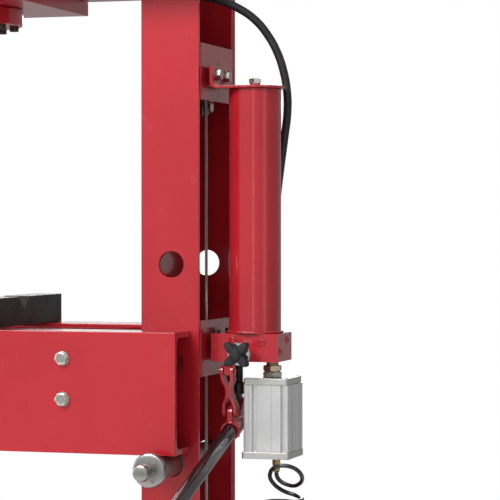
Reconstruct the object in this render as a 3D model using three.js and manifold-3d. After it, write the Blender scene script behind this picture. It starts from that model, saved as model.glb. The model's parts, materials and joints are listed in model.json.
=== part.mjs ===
// H-frame hydraulic shop press with an air-driven pump on its right upright.
// Millimetres, +Z up. X runs along the bed, Y from front (-) to rear (+).
// The sizes are laid out from the middle of the frame at floor level; the last lines move the
// origin to the bottom centre of the press without its hoses.
import * as THREE from 'three';
import { mergeVertices } from 'three/addons/utils/BufferGeometryUtils.js';
import Module from 'manifold-3d';

const wasm = await Module();
wasm.setup();

// ---------------------------------------------------------------- driving sizes
const GAP = 0.3; // between pieces that touch
const MERGE = 1e-3; // corners nearer than this are one corner

const FRAME_HEIGHT = 1800;
const CLEAR_HALF = 350; // middle of the frame to an upright's web
const CHANNEL_DEPTH = 200;
const CHANNEL_FLANGE = 100;
const BEAM_FLANGE = 75;
const WALL = 10;
const UPRIGHT_EDGE = CLEAR_HALF + CHANNEL_FLANGE;
const BEAM_INNER = CHANNEL_DEPTH / 2 + 1; // a cross beam's face beside the uprights
const BEAM_OUTER = BEAM_INNER + BEAM_FLANGE;

const PIN_HOLE_RADIUS = 22;
const PIN_X = 402;
const PIN_HOLE_TOP = 1125;
const PIN_HOLE_PITCH = 164.5;
const PIN_HOLE_COUNT = 5;
const PIN_RADIUS = 20;
const PIN_LEVEL = PIN_HOLE_TOP - 2 * PIN_HOLE_PITCH; // third hole from the top carries the bed

const FOOT_LENGTH = 800;
const FOOT_HEIGHT = 100;
const FOOT_INNER = CLEAR_HALF - WALL;
const GUSSET_LENGTH = 260;
const GUSSET_HEIGHT = 300; // above the floor

const CROWN_BOTTOM = 1590;
const CROWN_HALF_LENGTH = 460;
const SADDLE_THICKNESS = 25;
const SADDLE_HALF = 150;

const CYLINDER_RADIUS = 64;
const CYLINDER_TOP = 1822;
const CYLINDER_BOTTOM = 1535;
const PORT_Z = 1660;
const RAM_RADIUS = 35;
const PAD_BOTTOM = 1425;
const PAD_HEIGHT = 25;

const BED_BOTTOM = PIN_LEVEL + PIN_RADIUS + GAP;
const BED_HALF_LENGTH = 435;
const BED_TOP = BED_BOTTOM + CHANNEL_DEPTH;
const SPACER_X = 240;
const BLOCK_HEIGHT = 50;

const ROPE_RADIUS = 2.5;
const ROPE_SEAT = ROPE_RADIUS + 0.8; // groove bottom to the rope's middle
const SHEAVE = { x: 377, z: 1448, groove: 50, rim: 57, width: 14, bore: 6.3 };
const ROPE_X = SHEAVE.x + SHEAVE.groove + ROPE_SEAT; // rope in the right channel
const ROPE_INNER_X = SHEAVE.x - SHEAVE.groove - ROPE_SEAT; // rope between sheave and bed
const BED_PULLEY = {
  x: ROPE_INNER_X - 30 - ROPE_SEAT, z: BED_BOTTOM + 45, groove: 30, rim: 37, width: 14, bore: 6.3,
};
const ANCHOR_Z = 1440;

const DRUM = { z: 500, radius: 24, flange: 46, gear: 54, halfLength: 40 };
const PINION_RADIUS = 14.3;
const CRANK_LENGTH = 130;

const PLATE = 7.7; // thickness of the pump's mounting plates, set flush in the column's mouth
const PAD_FACE = UPRIGHT_EDGE + 8; // outer face of the pads that carry the pump
const PUMP_X = 522.6;
const PUMP_Y = -21;
const BLOCK_BOTTOM = 964;
const BLOCK_TOP = 1010.5;
const BLOCK_FRONT = -61;
const BLOCK_REAR = 24;
const LID_BOTTOM = 1416;
const LID_THICKNESS = 4;
const RESERVOIR_RADIUS = 43.5;

const VALVE_X = 514;
const VALVE_Z = 978;
const LEVER_X = 486;
const PIVOT_A = { y: -55, z: 948 }; // link on the block's lug
const PIVOT_B = { y: -38, z: 879 }; // link on the lever's ear
const PIVOT_C = { y: 7.5, z: 893 }; // lever's fork on the plunger
const SOCKET = { y: -44, z: 847, radius: 16.5, bore: 12.5, length: 66 };
const HANDLE_RADIUS = 12.2;
const HANDLE_REACH = 500;
const HANDLE_DROP = THREE.MathUtils.degToRad(18.4); // below the level, at rest

const MOTOR_X = 553;
const MOTOR_Z = 815.5;
const MOTOR_HEIGHT = 110.5;
const MOTOR_WIDTH = 78;
const MOTOR_DEPTH = 87;
const MOTOR_Y = -16.5; // middle of its depth
const MOTOR_GROOVES = [[-24, -16], [25.5, 31]]; // from and to, across each face
const GROOVE_DEPTH = 6;

// ---------------------------------------------------------------- finishes
const RED = { color: 0xb01c24, roughness: 0.35, metalness: 0.0 };
const DARK_STEEL = { color: 0x4a4a4c, roughness: 0.45, metalness: 0.9 };
const STEEL = { color: 0x9a9a98, roughness: 0.35, metalness: 1.0 };
const ZINC = { color: 0xc9c6bd, roughness: 0.3, metalness: 1.0 };
const ALUMINIUM = { color: 0xd6d8da, roughness: 0.35, metalness: 1.0 };
const CHROME = { color: 0xe4e4e6, roughness: 0.08, metalness: 1.0 };
const BRASS = { color: 0xb8924a, roughness: 0.3, metalness: 1.0 };
const BLACK = { color: 0x17171a, roughness: 0.4, metalness: 0.0 };
const RUBBER = { color: 0x1f1e20, roughness: 0.6, metalness: 0.0 };

// ---------------------------------------------------------------- solids
// A closed geometry as a manifold solid with its faces pointing out.
function solid(geometry) {
  const bare = new THREE.BufferGeometry();
  const source = geometry.index ? geometry.toNonIndexed() : geometry;
  bare.setAttribute('position', source.getAttribute('position'));
  const merged = mergeVertices(bare, MERGE);
  const position = merged.getAttribute('position');
  const corner = [new THREE.Vector3(), new THREE.Vector3(), new THREE.Vector3()];
  const triangles = [];
  let volume = 0;
  for (let i = 0; i < merged.index.count; i += 3) {
    const [a, b, c] = [0, 1, 2].map((k) => merged.index.getX(i + k));
    if (a === b || b === c || c === a) continue;
    [a, b, c].forEach((vertex, k) => corner[k].fromBufferAttribute(position, vertex));
    volume += corner[0].dot(corner[1].clone().cross(corner[2]));
    triangles.push(a, b, c);
  }
  if (volume < 0) triangles.reverse();
  return new wasm.Manifold(
    new wasm.Mesh({
      numProp: 3,
      vertProperties: new Float32Array(position.array),
      triVerts: new Uint32Array(triangles),
    }),
  );
}

function geometryOf(body) {
  const { vertProperties, triVerts } = body.getMesh();
  const geometry = new THREE.BufferGeometry();
  geometry.setAttribute('position', new THREE.BufferAttribute(new Float32Array(vertProperties), 3));
  geometry.setIndex(new THREE.BufferAttribute(new Uint32Array(triVerts), 1));
  geometry.computeVertexNormals();
  return geometry;
}

const join = (...bodies) => bodies.reduce((whole, body) => whole.add(body));
const cut = (body, ...tools) => tools.reduce((left, tool) => left.subtract(tool), body);

function box(x0, x1, y0, y1, z0, z1) {
  const geometry = new THREE.BoxGeometry(x1 - x0, y1 - y0, z1 - z0);
  return solid(geometry.translate((x0 + x1) / 2, (y0 + y1) / 2, (z0 + z1) / 2));
}

// Puts a geometry's own x and y along two directions, then moves it to a place.
function laid(geometry, xTo, yTo, at = [0, 0, 0]) {
  const x = new THREE.Vector3(...xTo);
  const y = new THREE.Vector3(...yTo);
  const basis = new THREE.Matrix4().makeBasis(x, y, x.clone().cross(y));
  return geometry.applyMatrix4(basis.setPosition(...at));
}

// A round bar from `from` to `to` along an axis; `at` gives the other two coordinates in order.
const AXES = { x: [1, 0, 0], y: [0, 1, 0], z: [0, 0, 1] };
function turned(axis, profile, at, segments = 20) {
  const geometry = new THREE.LatheGeometry(
    profile.map(([radius, along]) => new THREE.Vector2(radius, along)),
    segments,
  );
  const place = [...at];
  place.splice('xyz'.indexOf(axis), 0, 0);
  const side = axis === 'x' ? AXES.y : AXES.x;
  return solid(laid(geometry, side, AXES[axis], place));
}

function bar(axis, radius, from, to, at, segments = 20) {
  return turned(axis, [[0, from], [radius, from], [radius, to], [0, to]], at, segments);
}

function ring(axis, outer, inner, from, to, at, segments = 24) {
  const profile = [[inner, from], [outer, from], [outer, to], [inner, to], [inner, from]];
  return turned(axis, profile, at, segments);
}

// A hexagon bar; `across` is its width across flats.
function hexBar(axis, across, from, to, at) {
  return bar(axis, across / Math.sqrt(3), from, to, at, 6);
}

// A flat outline pushed along +X from x0 to x1; the outline's points are (y, z).
function plateX(points, x0, x1) {
  const outline = points instanceof THREE.Shape
    ? points
    : new THREE.Shape(points.map(([y, z]) => new THREE.Vector2(y, z)));
  const geometry = new THREE.ExtrudeGeometry(outline, {
    depth: x1 - x0,
    bevelEnabled: false,
    curveSegments: 12,
  });
  return solid(laid(geometry, AXES.y, AXES.z, [x0, 0, 0]));
}

// A flat outline pushed along Y from y0 to y1; the outline's points are (x, z).
function plateY(points, y0, y1) {
  const outline = new THREE.Shape(points.map(([x, z]) => new THREE.Vector2(x, z)));
  const geometry = new THREE.ExtrudeGeometry(outline, { depth: y1 - y0, bevelEnabled: false });
  return solid(laid(geometry, AXES.x, AXES.z, [0, y1, 0]));
}

function prismZ(outline, z0, z1, at = [0, 0]) {
  const geometry = new THREE.ExtrudeGeometry(outline, {
    depth: z1 - z0,
    bevelEnabled: false,
    curveSegments: 24,
  });
  return solid(geometry.translate(at[0], at[1], z0));
}

// A tube or rope: a round section carried along a smooth curve.
function hose(points, radius, sides, steps) {
  const route = points.map((point) => new THREE.Vector3(...point));
  const section = new THREE.Shape(
    Array.from({ length: sides }, (_, i) => {
      const angle = (2 * Math.PI * i) / sides;
      return new THREE.Vector2(radius * Math.cos(angle), radius * Math.sin(angle));
    }),
  );
  const extrudePath = new THREE.CatmullRomCurve3(route, false, 'centripetal');
  return solid(new THREE.ExtrudeGeometry(section, { steps, extrudePath, bevelEnabled: false }));
}

function piece(parent, name, body, finish) {
  const mesh = new THREE.Mesh(geometryOf(body), new THREE.MeshStandardMaterial(finish));
  mesh.name = name;
  parent.add(mesh);
  return mesh;
}

// ---------------------------------------------------------------- rolled channels
// Section of a channel: web along y, flanges towards +x, with root fillets and rounded toes.
function channelSection(depth, flange) {
  const half = depth / 2;
  const root = 10;
  const toe = 5;
  const inner = half - WALL;
  const shape = new THREE.Shape();
  shape.moveTo(0, -half);
  shape.lineTo(flange, -half);
  shape.lineTo(flange, -inner - toe);
  shape.absarc(flange - toe, -inner - toe, toe, 0, Math.PI / 2, false);
  shape.lineTo(WALL + root, -inner);
  shape.absarc(WALL + root, -inner + root, root, -Math.PI / 2, -Math.PI, true);
  shape.lineTo(WALL, inner - root);
  shape.absarc(WALL + root, inner - root, root, Math.PI, Math.PI / 2, true);
  shape.lineTo(flange - toe, inner);
  shape.absarc(flange - toe, inner + toe, toe, -Math.PI / 2, 0, false);
  shape.lineTo(flange, half);
  shape.lineTo(0, half);
  return shape;
}

function channel(depth, flange, length, xTo, yTo, at) {
  const geometry = new THREE.ExtrudeGeometry(channelSection(depth, flange), {
    depth: length,
    bevelEnabled: false,
    curveSegments: 4,
  });
  return solid(laid(geometry, xTo, yTo, at));
}

// A beam along X on one side of the uprights. Its web's outer face is `web` from the middle; its
// flanges reach away from the middle when `toes` is 1 and towards it when `toes` is -1.
function crossBeam(side, halfLength, bottom, web, toes) {
  const way = side * toes;
  const start = way > 0 ? -halfLength : halfLength;
  const place = [start, side * web, bottom + CHANNEL_DEPTH / 2];
  return channel(CHANNEL_DEPTH, BEAM_FLANGE, 2 * halfLength, [0, way, 0], AXES.z, place);
}

// ---------------------------------------------------------------- frame
function upright(parent, name, side) {
  const bottom = WALL + GAP;
  const height = FRAME_HEIGHT - bottom;
  const across = CHANNEL_DEPTH / 2 + 1;
  let body = channel(CHANNEL_DEPTH, CHANNEL_FLANGE, height, AXES.x, AXES.y, [CLEAR_HALF, 0, bottom]);
  for (let i = 0; i < PIN_HOLE_COUNT; i += 1) {
    const z = PIN_HOLE_TOP - i * PIN_HOLE_PITCH;
    body = cut(body, bar('y', PIN_HOLE_RADIUS, -across, across, [PIN_X, z], 40));
  }
  if (side > 0) {
    const hoseHole = bar('x', 20, CLEAR_HALF - 1, CLEAR_HALF + WALL + 1, [0, 1583], 40);
    const slotHalf = SHEAVE.rim + 5;
    const slotWidth = SHEAVE.width + 8;
    const slot = box(
      CLEAR_HALF - 1, CLEAR_HALF + WALL + 1, -slotWidth / 2, slotWidth / 2, SHEAVE.z - slotHalf, SHEAVE.z + slotHalf,
    );
    body = cut(body, hoseHole, slot);
  }
  const mesh = piece(parent, name, body, RED);
  if (side < 0) mesh.rotation.z = Math.PI;
}

// An angle along Y under each upright, with two gussets welded to it.
function foot(parent, name, side) {
  const half = FOOT_LENGTH / 2;
  let body = join(
    box(FOOT_INNER, UPRIGHT_EDGE + 4, -half, half, 0, WALL),
    box(FOOT_INNER, CLEAR_HALF - GAP, -half, half, WALL - 1, FOOT_HEIGHT),
  );
  const near = CHANNEL_DEPTH / 2 + GAP;
  for (const end of [-1, 1]) {
    const outline = [[near, WALL - 1], [near + GUSSET_LENGTH, WALL - 1], [near + GUSSET_LENGTH, 30],
      [near + 20, GUSSET_HEIGHT], [near, GUSSET_HEIGHT]];
    const placed = outline.map(([y, z]) => [end * y, z]);
    if (end > 0) placed.reverse();
    body = join(body, plateX(placed, PIN_X - 5, PIN_X + 5));
  }
  const mesh = piece(parent, name, body, RED);
  if (side < 0) mesh.rotation.z = Math.PI;
}

function baseTie(parent) {
  const half = FOOT_INNER - GAP;
  const body = channel(80, 40, 2 * half, [0, 1, 0], AXES.z, [-half, 0, 60]);
  piece(parent, 'base_tie', body, RED);
}

function crown(parent) {
  for (const [name, side] of [['crown_beam_front', -1], ['crown_beam_rear', 1]]) {
    piece(parent, name, crossBeam(side, CROWN_HALF_LENGTH, CROWN_BOTTOM, BEAM_INNER, 1), RED);
  }
  const top = CROWN_BOTTOM - GAP;
  const bottom = CROWN_BOTTOM - SADDLE_THICKNESS;
  const reach = BEAM_OUTER - 1;
  const plate = box(-SADDLE_HALF, SADDLE_HALF, -reach, reach, bottom, top);
  const hole = bar('z', CYLINDER_RADIUS + GAP, bottom - 1, top + 1, [0, 0], 32);
  piece(parent, 'crown_saddle', cut(plate, hole), RED);
}

// ---------------------------------------------------------------- ram
function ram(parent) {
  const flangeTop = CROWN_BOTTOM - SADDLE_THICKNESS - GAP;
  const boreTop = 1772;
  const shell = turned('z', [
    [RAM_RADIUS + 0.5, CYLINDER_BOTTOM], [86, CYLINDER_BOTTOM], [90, CYLINDER_BOTTOM + 4],
    [90, flangeTop], [CYLINDER_RADIUS, flangeTop], [CYLINDER_RADIUS, CYLINDER_TOP - 6],
    [CYLINDER_RADIUS - 6, CYLINDER_TOP], [0, CYLINDER_TOP], [0, boreTop], [RAM_RADIUS + 0.5, boreTop],
    [RAM_RADIUS + 0.5, CYLINDER_BOTTOM],
  ], [0, 0], 32);
  const port = bar('x', 14, CYLINDER_RADIUS - 4, CYLINDER_RADIUS + 10, [0, PORT_Z], 20);
  piece(parent, 'ram_cylinder', join(shell, port), RED);

  const padTop = PAD_BOTTOM + PAD_HEIGHT;
  piece(parent, 'ram_rod', turned('z', [
    [0, padTop + GAP], [RAM_RADIUS, padTop + GAP], [RAM_RADIUS, 1736], [RAM_RADIUS - 4, 1740], [0, 1740],
  ], [0, 0], 28), CHROME);
  piece(parent, 'ram_pad', turned('z', [
    [0, PAD_BOTTOM], [44, PAD_BOTTOM], [47, PAD_BOTTOM + 3], [47, padTop - 3], [44, padTop], [0, padTop],
  ], [0, 0], 24), STEEL);
}

function gauge(parent) {
  const height = CYLINDER_TOP + GAP + 78;
  const caseBody = turned('y', [
    [0, -6], [44, -6], [44, -18], [50, -18], [50, 16], [47, 18], [0, 18],
  ], [0, height], 28);
  const stem = hexBar('z', 18, CYLINDER_TOP + GAP, height - 47, [0, 0]);
  piece(parent, 'gauge_case', join(caseBody, stem), STEEL);

  const zeroAngle = THREE.MathUtils.degToRad(225); // needle at rest, from +X
  const needle = new THREE.Shape([
    new THREE.Vector2(-10, -1.8), new THREE.Vector2(36, -0.5), new THREE.Vector2(36, 0.5),
    new THREE.Vector2(-10, 1.8),
  ]);
  const blade = laid(
    new THREE.ExtrudeGeometry(needle, { depth: 1, bevelEnabled: false }).rotateZ(zeroAngle),
    AXES.x, AXES.z, [0, -9, 0],
  );
  const boss = bar('y', 4, -11, -6 - GAP, [0, 0], 16);
  const pointer = piece(parent, 'gauge_needle', join(solid(blade), boss), BLACK);
  pointer.position.set(0, 0, height);
}

// ---------------------------------------------------------------- pulleys and rope
function pulley({ groove, rim, width, bore }) {
  const half = width / 2;
  return turned('y', [
    [bore, -half], [rim, -half], [rim, -half + 1.5], [groove, -ROPE_RADIUS - 0.3],
    [groove, ROPE_RADIUS + 0.3], [rim, half - 1.5], [rim, half], [bore, half], [bore, -half],
  ], [0, 0], 24);
}

// Two cheek plates with a pin between them, for a pulley 14 wide.
function cheeks(outline, pulleyAt, pinEnd) {
  const plates = [-1, 1].map((side) => {
    const inner = side * 9.5;
    const outer = side * 13.5;
    return plateY(outline, Math.min(inner, outer), Math.max(inner, outer));
  });
  return join(...plates, bar('y', 6, -pinEnd, pinEnd, pulleyAt, 20));
}

function bed(parent) {
  for (const [name, side] of [['bed_beam_front', -1], ['bed_beam_rear', 1]]) {
    piece(parent, name, crossBeam(side, BED_HALF_LENGTH, BED_BOTTOM, BEAM_OUTER, -1), RED);
  }
  const across = BEAM_OUTER - WALL - GAP;
  const { x, z } = BED_PULLEY;
  const outline = [
    [SPACER_X + 5, z - 14], [x + 8, z - 14], [x + 14, z - 6], [x + 14, z + 8], [x + 6, z + 14],
    [SPACER_X + 5, z + 40],
  ];
  for (const side of [1, -1]) {
    const label = side > 0 ? 'right' : 'left';
    const web = box(SPACER_X - 6, SPACER_X + 6, -across, across, z - 12, BED_TOP - 22);
    const spacer = piece(parent, `bed_spacer_${label}`, join(web, cheeks(outline, [x, z], 17)), RED);
    if (side < 0) spacer.rotation.z = Math.PI;
    piece(parent, `bed_pulley_${label}`, pulley(BED_PULLEY), ZINC).position.set(side * x, 0, z);
    bedPin(parent, `bed_pin_${label}`, side);
    pressBlock(parent, `press_block_${label}`, side);
  }
}

function bedPin(parent, name, side) {
  const body = turned('y', [
    [0, -212], [24, -212], [28, -208], [28, -200], [PIN_RADIUS, -200], [PIN_RADIUS, 188],
    [PIN_RADIUS - 5, 194], [0, 194],
  ], [0, 0], 24);
  const pull = bar('y', 8, -236, -211, [0, 0], 16);
  const knob = turned('y', [[0, -252], [11, -252], [14, -248], [14, -238], [11, -234], [0, -234]], [0, 0], 20);
  piece(parent, name, join(body, pull, knob), STEEL).position.set(side * PIN_X, 0, PIN_LEVEL);
}

// A loose steel block across the bed, with a vee in its top.
function pressBlock(parent, name, side) {
  const half = CHANNEL_DEPTH / 2 + BEAM_FLANGE - 5;
  const outline = [
    [-half, 0], [half, 0], [half, BLOCK_HEIGHT], [24, BLOCK_HEIGHT], [0, BLOCK_HEIGHT - 22], [-24, BLOCK_HEIGHT],
    [-half, BLOCK_HEIGHT],
  ];
  piece(parent, name, plateX(outline, -25, 25), DARK_STEEL).position.set(side * 75, 0, BED_TOP + GAP);
}

function sheave(parent) {
  const { x, z } = SHEAVE;
  piece(parent, 'top_sheave', pulley(SHEAVE), ZINC).position.set(x, 0, z);
  const back = CLEAR_HALF + WALL + GAP;
  const outline = [
    [back, z - 52], [back + 20, z - 52], [back + 40, z - 74], [428, z - 74], [428, z - 58], [back + 40, z - 20],
    [back + 30, z + 18], [back, z + 30],
  ];
  const feet = [-1, 1].map((side) => {
    const [y0, y1] = side > 0 ? [12, 42] : [-42, -12];
    return box(back, back + 4, y0, y1, z - 52, z + 30);
  });
  const tab = box(421, 425, 12, 32, z - 70, z - 46);
  const nut = hexBar('x', 17, 424, 434, [21, z - 58]);
  piece(parent, 'sheave_bracket', join(cheeks(outline, [x, z], 17), ...feet, tab, nut), ZINC);
}

// Points round a quarter or half turn of rope about (x, z), from one angle to another.
function ropeTurn(x, z, radius, from, to, count) {
  return Array.from({ length: count + 1 }, (_, i) => {
    const angle = THREE.MathUtils.degToRad(from + ((to - from) * i) / count);
    return [x + radius * Math.cos(angle), 0, z + radius * Math.sin(angle)];
  });
}

function ropes(parent) {
  const overSheave = SHEAVE.groove + ROPE_SEAT;
  const underPulley = BED_PULLEY.groove + ROPE_SEAT;
  const innerX = ROPE_INNER_X;
  const outerX = ROPE_X;
  const bedZ = BED_PULLEY.z;

  const overTurn = hose(ropeTurn(SHEAVE.x, SHEAVE.z, overSheave, 0, 180, 8), ROPE_RADIUS, 8, 14);
  const winchRun = bar('z', ROPE_RADIUS, DRUM.z + 4, SHEAVE.z + 1, [outerX, 0], 8);
  piece(parent, 'rope_winch_run', join(winchRun, overTurn), ZINC);

  const run = (name, x, top) => piece(
    parent, name, bar('z', ROPE_RADIUS, bedZ + 2 * GAP, top, [x, 0], 8), ZINC,
  );
  run('rope_right_run', innerX, SHEAVE.z - 2 * GAP);
  run('rope_left_run', -innerX, ANCHOR_Z - GAP);

  const pulleyX = BED_PULLEY.x;
  const quarter = hose(ropeTurn(pulleyX, bedZ, underPulley, 0, -90, 6), ROPE_RADIUS, 8, 8);
  const under = join(
    bar('x', ROPE_RADIUS, -pulleyX - 1, pulleyX + 1, [0, bedZ - underPulley], 8),
    quarter,
    quarter.mirror([1, 0, 0]),
  );
  piece(parent, 'rope_under_bed', under, ZINC);

  const plate = box(-innerX - 25 + GAP - 0.8, -innerX - 19, -30, 30, ANCHOR_Z, ANCHOR_Z + 80);
  const shelf = box(-innerX - 20, -innerX + 18, -20, 20, ANCHOR_Z, ANCHOR_Z + 6);
  const hole = bar('z', 4, ANCHOR_Z - 1, ANCHOR_Z + 7, [-innerX, 0], 16);
  piece(parent, 'rope_anchor', cut(join(plate, shelf), hole), ZINC);
}

// ---------------------------------------------------------------- hand winch
function winch(parent) {
  const drumX = ROPE_X + ROPE_RADIUS + GAP + DRUM.radius;
  const { z } = DRUM;
  const spread = DRUM.gear + PINION_RADIUS + 0.5;
  const crankAngle = THREE.MathUtils.degToRad(60);
  const crankX = drumX + spread * Math.cos(crankAngle);
  const crankZ = z + spread * Math.sin(crankAngle);

  const back = CLEAR_HALF + WALL + GAP;
  const outline = [
    [back, z - 40], [drumX + 10, z - 18], [drumX + 20, z], [crankX + 14, crankZ - 4], [crankX + 14, crankZ + 8],
    [crankX + 4, crankZ + 16], [crankX - 8, crankZ + 16], [back, z + 70],
  ];
  let frame = box(back, back + 6, -62, 62, z - 40, z + 70);
  for (const inner of [-52, 47]) frame = join(frame, plateY(outline, inner, inner + 5));
  frame = cut(frame, bar('y', 8.4, -60, 60, [drumX, z]), bar('y', 7.4, -60, 60, [crankX, crankZ]));
  piece(parent, 'winch_frame', frame, ZINC);

  const { radius, flange, gear, halfLength: half } = DRUM;
  const drum = turned('y', [
    [0, -68], [8, -68], [8, -64], [gear, -64], [gear, -56], [8, -56], [8, -half - 5], [flange, -half - 5],
    [flange, -half], [radius, -half], [radius, half], [flange, half], [flange, half + 5], [8, half + 5],
    [8, 58], [0, 58],
  ], [0, 0], 24);
  piece(parent, 'winch_drum', drum, ZINC).position.set(drumX, 0, z);

  const shaft = turned('y', [
    [0, -140], [7, -140], [7, -65], [PINION_RADIUS, -65], [PINION_RADIUS, -55], [7, -55], [7, 58], [0, 58],
  ], [0, 0], 24);
  const arm = plateY([[-8, -CRANK_LENGTH - 10], [8, -CRANK_LENGTH - 10], [10, 12], [-10, 12]], -138, -130);
  const grip = turned('y', [
    [0, -232], [11, -232], [14, -226], [12, -180], [14, -150], [7, -143], [7, -131], [0, -131],
  ], [0, -CRANK_LENGTH], 20);
  piece(parent, 'winch_crank', join(shaft, arm, grip), DARK_STEEL).position.set(crankX, 0, crankZ);
}

// ---------------------------------------------------------------- pump
// A plate between the column's flanges, with a pad standing out of it for the pump.
function mountPlate(bottom, top, pad) {
  const half = CHANNEL_DEPTH / 2 - WALL - GAP;
  const plate = box(UPRIGHT_EDGE - PLATE, UPRIGHT_EDGE, -half, half, bottom, top);
  return join(plate, box(UPRIGHT_EDGE - 1, PAD_FACE, pad.front, pad.rear, pad.bottom, pad.top));
}

function plates(parent) {
  const upper = mountPlate(1397, 1491, { front: -44, rear: 25, bottom: 1422, top: 1452 });
  const lower = mountPlate(939, 1032, { front: -34, rear: 16, bottom: 968, top: 1006 });
  piece(parent, 'pump_plate_upper', upper, RED);
  piece(parent, 'pump_plate_lower', lower, RED);
}

function pumpBlock(parent) {
  const left = PAD_FACE + GAP;
  let body = box(left, 573, BLOCK_FRONT, BLOCK_REAR, BLOCK_BOTTOM, BLOCK_TOP);
  const front = BLOCK_FRONT;
  const lug = [[front, BLOCK_BOTTOM + 1], [front, PIVOT_A.z], [front + 2.5, PIVOT_A.z - 7],
    [front + 10, PIVOT_A.z - 7], [front + 13, PIVOT_A.z], [front + 13, BLOCK_BOTTOM + 1]];
  body = join(
    body,
    plateX(lug, LEVER_X - 5, LEVER_X + 5),
    bar('x', 4, LEVER_X - 13, LEVER_X + 13, [PIVOT_A.y, PIVOT_A.z], 16),
  );
  const plungerBore = bar('z', 6.9, BLOCK_BOTTOM - 1, BLOCK_BOTTOM + 40, [LEVER_X, PIVOT_C.y]);
  const valveBore = bar('y', 6.4, BLOCK_FRONT - 1, BLOCK_FRONT + 28, [VALVE_X, VALVE_Z], 20);
  piece(parent, 'pump_block', cut(body, plungerBore, valveBore), RED);
}

function reservoir(parent) {
  const base = BLOCK_TOP + GAP;
  const top = LID_BOTTOM;
  piece(parent, 'reservoir_tube', turned('z', [
    [39.5, base], [47, base], [RESERVOIR_RADIUS, base + 5], [RESERVOIR_RADIUS, top], [39.5, top], [39.5, base],
  ], [PUMP_X, PUMP_Y], 36), RED);

  // A bent strap: a leg against the upper plate, and a round-ended lid over the tube.
  const legBack = PAD_FACE + GAP;
  const bottom = LID_BOTTOM + GAP;
  const lidTop = bottom + LID_THICKNESS;
  const legFront = legBack + 6;
  const bend = 9;
  const profile = [[legBack, bottom + 10], [legBack + 3, bottom + 3], [legBack + 10, bottom],
    [PUMP_X + 60, bottom], [PUMP_X + 60, lidTop], [legFront + bend, lidTop], [legFront + 2.6, lidTop + 2.6],
    [legFront, lidTop + bend], [legFront, 1454], [legBack, 1454]];
  const outline = new THREE.Shape();
  outline.moveTo(legBack - 1, -50);
  outline.lineTo(PUMP_X, -50);
  outline.absarc(PUMP_X, 0, 50, -Math.PI / 2, Math.PI / 2, false);
  outline.lineTo(legBack - 1, 50);
  const strap = plateY(profile, PUMP_Y - 52, PUMP_Y + 52).intersect(prismZ(outline, 1400, 1460, [0, PUMP_Y]));
  const boss = turned('z', [
    [0, lidTop - 1], [11, lidTop - 1], [9, lidTop + 4], [0, lidTop + 4],
  ], [PUMP_X, PUMP_Y], 24);
  const hole = bar('z', 6, 1400, 1460, [PUMP_X, PUMP_Y], 20);
  piece(parent, 'reservoir_lid', cut(join(strap, boss), hole), RED);

  const seat = lidTop + 4 + GAP;
  piece(parent, 'filler_plug', join(
    hexBar('z', 19, seat, seat + 9.5, [PUMP_X, PUMP_Y]),
    bar('z', 5.7, 1402, seat + 1, [PUMP_X, PUMP_Y], 20),
  ), ZINC);
}

function releaseValve(parent) {
  const collar = ring('y', 19.5, 7, BLOCK_FRONT - 26, BLOCK_FRONT - GAP, [VALVE_X, VALVE_Z]);
  piece(parent, 'valve_collar', collar, CHROME);
  const lobes = new THREE.Shape(
    Array.from({ length: 40 }, (_, i) => {
      const angle = (2 * Math.PI * i) / 40;
      const radius = 20 + 7.5 * Math.cos(4 * (angle - Math.PI / 4));
      return new THREE.Vector2(radius * Math.cos(angle), radius * Math.sin(angle));
    }),
  );
  const cross = solid(laid(
    new THREE.ExtrudeGeometry(lobes, { depth: 17, bevelEnabled: false }),
    AXES.x, AXES.z, [0, BLOCK_FRONT - 28, 0],
  ));
  const hub = turned('y', [
    [0, -51], [7, -50], [10, -46], [10, -26.5], [6, -26.5], [6, 26], [0, 26],
  ].map(([radius, along]) => [radius, BLOCK_FRONT + along]), [0, 0], 24);
  piece(parent, 'release_knob', join(cross, hub), BLACK).position.set(VALVE_X, 0, VALVE_Z);
}

// ---------------------------------------------------------------- pump lever
// Two strips, spread over the lug and over the lever's ear and pinched together between.
function swingLink(parent) {
  const [top, bottom] = [PIVOT_A.z + 10, PIVOT_B.z - 10];
  const strip = [[6, top], [6, top - 24], [-0.05, top - 36], [-0.05, bottom + 35], [7, bottom + 22], [7, bottom],
    [12, bottom], [12, bottom + 23], [5, bottom + 36], [5, top - 37], [11, top - 25], [11, top]];
  const mirrored = strip.map(([x, z]) => [-x, z]).reverse();
  const outline = new THREE.Shape();
  outline.absarc(PIVOT_A.y, PIVOT_A.z, 9, 0, Math.PI, false);
  outline.absarc(PIVOT_B.y, PIVOT_B.z, 9, Math.PI, 2 * Math.PI, false);
  const stadium = plateX(outline, -20, 20);
  const body = join(plateY(strip, -80, -20), plateY(mirrored, -80, -20)).intersect(stadium);
  const holes = [PIVOT_A, PIVOT_B].map(({ y, z }) => bar('x', 4.4, -20, 20, [y, z], 20));
  piece(parent, 'swing_link', cut(body, ...holes), RED).position.x = LEVER_X;
}

// The handle's direction out of the socket, as (y, z).
const OUT = [-Math.cos(HANDLE_DROP), -Math.sin(HANDLE_DROP)];

// A lathe profile turned about the socket's axis: `along` counts outwards from the mouth.
function onSocketAxis(profile, segments) {
  const geometry = new THREE.LatheGeometry(profile.map(([r, along]) => new THREE.Vector2(r, along)), segments);
  return solid(laid(geometry, AXES.x, [0, ...OUT], [0, SOCKET.y, SOCKET.z]));
}

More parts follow.
